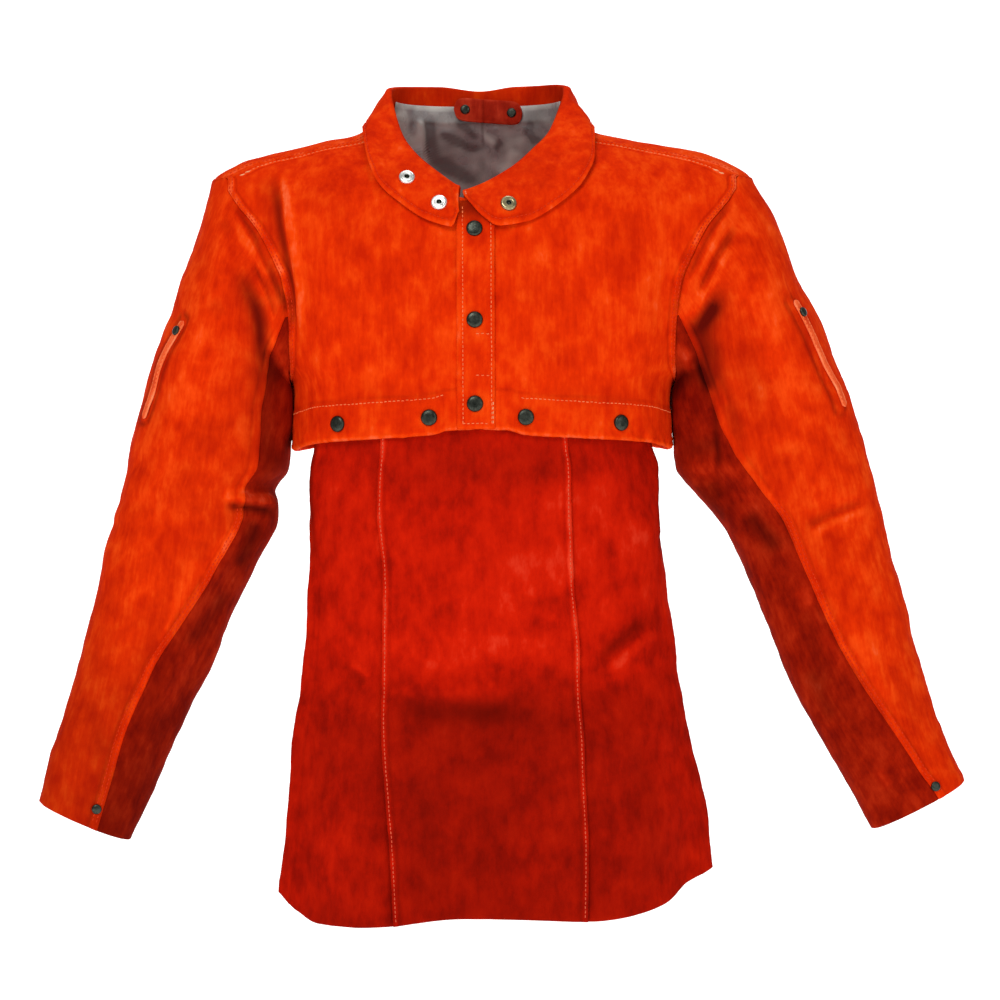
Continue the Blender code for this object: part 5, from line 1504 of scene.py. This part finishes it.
def arm_strap(name):
    tree = surface_tree(f"suede_sleeve_outer_{name}")
    rings, turns, line = strap_course(name)
    normal = sleeve_normal(name, rings, turns)
    across = unit(np.cross(normal, unit(np.gradient(line, axis=0))))
    run = run_along(line)
    end = np.minimum(run, run[-1] - run)
    round_off = 1 - np.clip(1 - end / (STRAP_WIDTH * 0.45), 0, 1) ** 2
    half = STRAP_WIDTH / 2 * np.sqrt(np.clip(round_off, 0.04, 1))
    shares = np.linspace(-1, 1, 11)
    flat = line[:, None] + across[:, None] * (half[:, None] * shares)[..., None]
    seat = flat.copy()
    for i, j in np.ndindex(seat.shape[:2]):
        start = Vector(flat[i, j] + normal[i] * 0.012)
        hit = tree.ray_cast(start, Vector(-normal[i]), 0.03)[0]
        seat[i, j] = hit if hit else flat[i, j]
    normal = normal[:, None] * np.ones_like(flat)
    level = np.pad((seat * normal).sum(-1).max(1), 2, "edge")
    level = np.convolve(level, np.ones(5) / 5, "valid")[:, None]
    base = raised(flat, normal, level - (flat * normal).sum(-1) + 0.0001)
    out = np.abs(shares)
    outer = raised(base, normal, 0.0019 - 0.0007 * out**4 - 0.0005 * line_at(out, 0.62, 0.16))
    outer += normal * (0.0002 * noise(outer, 0.008, 101))[..., None]
    tone = 0.1 * noise(outer, 0.012, 102) + 0.30 * (out > 0.7)
    shell("suede", f"arm_strap_{name}", outer, base, STRAP_LOOK, tone, nap_of(base, 9))
    for side in ("start", "end"):
        sew("orange", (outer, grid_normals(outer, normal)), side, 0.0018, 0.04, 0.97)


def bib_point(across, down, offset=0.0):
    """Points on the bib. across: -1 to 1 between its side edges. down: 0 to 1."""
    left, right, body, deep = (curve(BIB, down, column) for column in (1, 2, 3, 4))
    inset = 2 * LEATHER + LAYER_GAP / 2
    half = body * SIDE_HALF - inset
    deep = deep * FRONT_DEPTH - inset
    edge = np.where(across < 0, left, right) * BIB_HALF
    angle = across * np.arcsin(np.minimum(1, edge / half) ** (FORM_POWER / 2))
    length = BIB_DROP * (1 - curve(BIB_HEM, across))
    offset = offset + BIB_FOLD * bumps(BIB_FOLDS, across, down)
    x = half * signed_power(np.sin(angle), 2 / FORM_POWER)
    y = -deep * np.cos(angle) ** (2 / FORM_POWER)
    out = signed_power(x / half, FORM_POWER - 1) / half
    ahead = -(np.abs(y / deep) ** (FORM_POWER - 1)) / deep
    z = -CAPE_DROP + BIB_HIDDEN - down * length
    return raised(vectors(x, y, z), unit(vectors(out, ahead, 0.0)), offset)


def bib():
    lap = math.radians(BIB_LAP_DEGREES)
    downs = np.linspace(0, 1, 165)
    left, right = (curve(BIB, downs, column)[:, None] for column in (5, 6))
    below = -LEATHER - 2 * LAYER_GAP
    share = np.linspace(0, 1, 92)
    spans = (
        ("bib_centre", -left + (left + right) * np.linspace(0, 1, 100), 0.0),
        ("bib_side_left", -(left - lap + (1 - left + lap) * share), below),
        ("bib_side_right", right - lap + (1 - right + lap) * share, below),
    )
    for name, across, level in spans:
        down = np.repeat(downs[:, None], across.shape[1], 1)
        base, normals = faced(lambda offset: bib_point(across, down, offset), level)
        far = edge_distances(base)
        relief = rough(base, (0.0022, 0.075, 111), (0.0007, 0.024, 112), (0.0003, 0.009, 113))
        creases, shade = crease_relief(base, normals, BIB_CREASES)
        relief = (relief + creases) * ramp(down, 0.05, 0.14)
        # Painted shade and highlights of the creases, and the painted light and shade of BIB_SHADES
        tone = tone_of(shade, base, 114) + bumps(BIB_SHADES, across, down)
        # Darker towards the bottom and the middle: partly painted shade where the bib turns down
        # and back, partly the leather's own darker colour
        tone -= 0.42 * ramp(down, 0.46, 0.64) * (1 - 0.65 * np.abs(across))
        if name == "bib_centre":
            edge = np.minimum(far["start"], far["end"])
            felled = ramp(edge, 0.0056, 0.0040)
            relief += 0.0011 * felled
            tone += 0.12 * felled * (0.8 + 0.5 * noise(base, 0.01, 115))
            # Pale line at the stitches, and painted shade beside the felled ridge
            tone += 0.18 * line_at(edge, BIB_ROW, 0.0014) - 0.12 * line_at(edge, 0.0066, 0.0016)
        else:
            edge, out = far["start"], far["end"]
            turned = ramp(out, 0.0165, 0.0140)
            upper = ramp(base[..., 2], -0.44, -0.36)
            relief += 0.0008 * turned * (1 - upper) - 0.0045 * ramp(out, 0.013, 0.002) * upper
            # Painted shade where the upper side edges curl back
            tone -= 0.34 * turned * upper + 0.10 * line_at(out, 0.0165, 0.0016)
        relief += 0.0003 * pucker(base, edge, 0.012, 116)
        outer = raised(base, normals, relief)
        inner = outer - normals * LEATHER
        made = shell("suede", name, outer, inner, BIB_LOOK, tone, nap_of(base, 10))
        if name == "bib_centre":
            for end in ("start", "end"):
                sew("pink", (outer, grid_normals(outer, normals)), end, BIB_ROW, 0.05, 0.995)


def stud_mesh(name, radius, height, profile, finish, hollow):
    """Turned cap. The faces of a profile from its row hollow inwards have the dark finish."""
    turns = [2 * math.pi * k / STUD_SIDES for k in range(STUD_SIDES)]
    verts = [
        (radius * out * math.cos(turn), radius * out * math.sin(turn), height * up)
        for out, up in profile[:-1]
        for turn in turns
    ]
    faces = ring_faces(0, len(profile) - 1, STUD_SIDES)
    low = len(verts) - STUD_SIDES
    faces += [(low + k, low + (k + 1) % STUD_SIDES, len(verts)) for k in range(STUD_SIDES)]
    marks = [int(k >= hollow * STUD_SIDES) for k in range(len(faces))] + [0]
    faces.append(tuple(range(STUD_SIDES))[::-1])
    verts.append((0, 0, height * profile[-1][1]))
    mesh = mesh_of(name, verts, faces, finish, DARK_LOOK[1])
    mesh.polygons.foreach_set("material_index", marks)
    return mesh


def press_studs():
    trees = {key: surface_tree(*names) for key, names in CARRIERS.items()}
    for name, (points, middle, axis) in STUDS.items():
        tree = next(trees[key] for key in CARRIERS if name.startswith(key))
        radius, height = STUD_RADIUS, STUD_HEIGHT
        if np.ptp((points - middle) @ axis) < 0.003:
            radius, height = SMALL_STUD_RADIUS, SMALL_STUD_HEIGHT
        profile, hollow, (slot, finish) = STUD_CAP, len(STUD_CAP), DARK_LOOK
        if name.startswith("collar"):
            look = BRASS_LOOK if name.endswith("3") else BRIGHT_LOOK
            profile, hollow, (slot, finish) = STUD_SOCKET, SOCKET_HOLLOW, look
        hit = tree.ray_cast(Vector(middle + axis * 0.02), Vector(-axis), 0.06)[0]
        foot = np.array(hit) if hit else middle - axis * height / 2
        mesh = stud_mesh(f"metal_{name}", radius, height, profile, finish, hollow)
        mesh.transform(Vector(axis).to_track_quat("Z", "Y").to_matrix().to_4x4())
        mesh.transform(Matrix.Translation(Vector(foot)))
        new_object(mesh, (name,))


def stage():
    """Pale floor that curves up into a wall."""
    profile = [(-3.6, -0.95), (3.2, -0.95)]
    for turn in np.linspace(0, math.pi / 2, 13):
        profile.append((3.2 + 0.8 * math.sin(turn), -0.15 - 0.8 * math.cos(turn)))
    profile.append((4.0, 1.8))
    verts = [(x, y, z) for y, z in profile for x in (-3.6, 3.6)]
    faces = [(k, k + 1, k + 3, k + 2) for k in range(0, len(verts) - 2, 2)]
    white = Shading("floor_white").finish(
        Base_Color=(0.9, 0.9, 0.9), Roughness=0.9, Emission_Color=(1, 1, 1), Emission_Strength=0.75
    )
    mesh = mesh_of("floor", verts, faces, white)
    mesh.shade_smooth()
    floor = linked("floor", mesh)


def light(name, place, target, size, power):
    data = bpy.data.lights.new(name, "AREA")
    data.shape, data.size, data.energy = "SQUARE", size, power
    made = linked(name, data)
    made.location = place
    made.rotation_mode = "QUATERNION"
    made.rotation_quaternion = (Vector(target) - Vector(place)).to_track_quat("-Z", "Y")


def studio():
    scene = bpy.context.scene
    world = bpy.data.worlds.new("studio")
    world.use_nodes = True
    background = world.node_tree.nodes["Background"].inputs
    background["Color"].default_value = (1, 1, 1, 1)
    background["Strength"].default_value = 0.34
    scene.world = world
    for name, *settings in LIGHTS:
        light(name, *settings)
    data = bpy.data.cameras.new("camera")
    data.sensor_width, data.lens = 36, 108
    data.clip_start, data.clip_end = 0.1, 30
    camera = linked("camera", data)
    camera.location = STANDPOINT
    camera.rotation_euler = (math.pi / 2, math.atan(VIEW_TILT) / 4, 0)
    scene.camera = camera
    scene.view_settings.view_transform = "Standard"


def main():
    cape_fronts()
    cape_back()
    placket()
    collar()
    lining()
    hanger_tab()
    sleeves()
    for name in SIDES:
        arm_strap(name)
    bib()
    press_studs()
    for name, (slot, fresh, wear_and_painted_light) in THREADS.items():
        verts, faces = stitch_mesh(PATHS[name])
        finish = thread(f"thread_{name}", fresh, wear_and_painted_light)
        new_object(mesh_of(f"stitches_{name}", verts, faces, finish))
    stage()
    studio()


main()
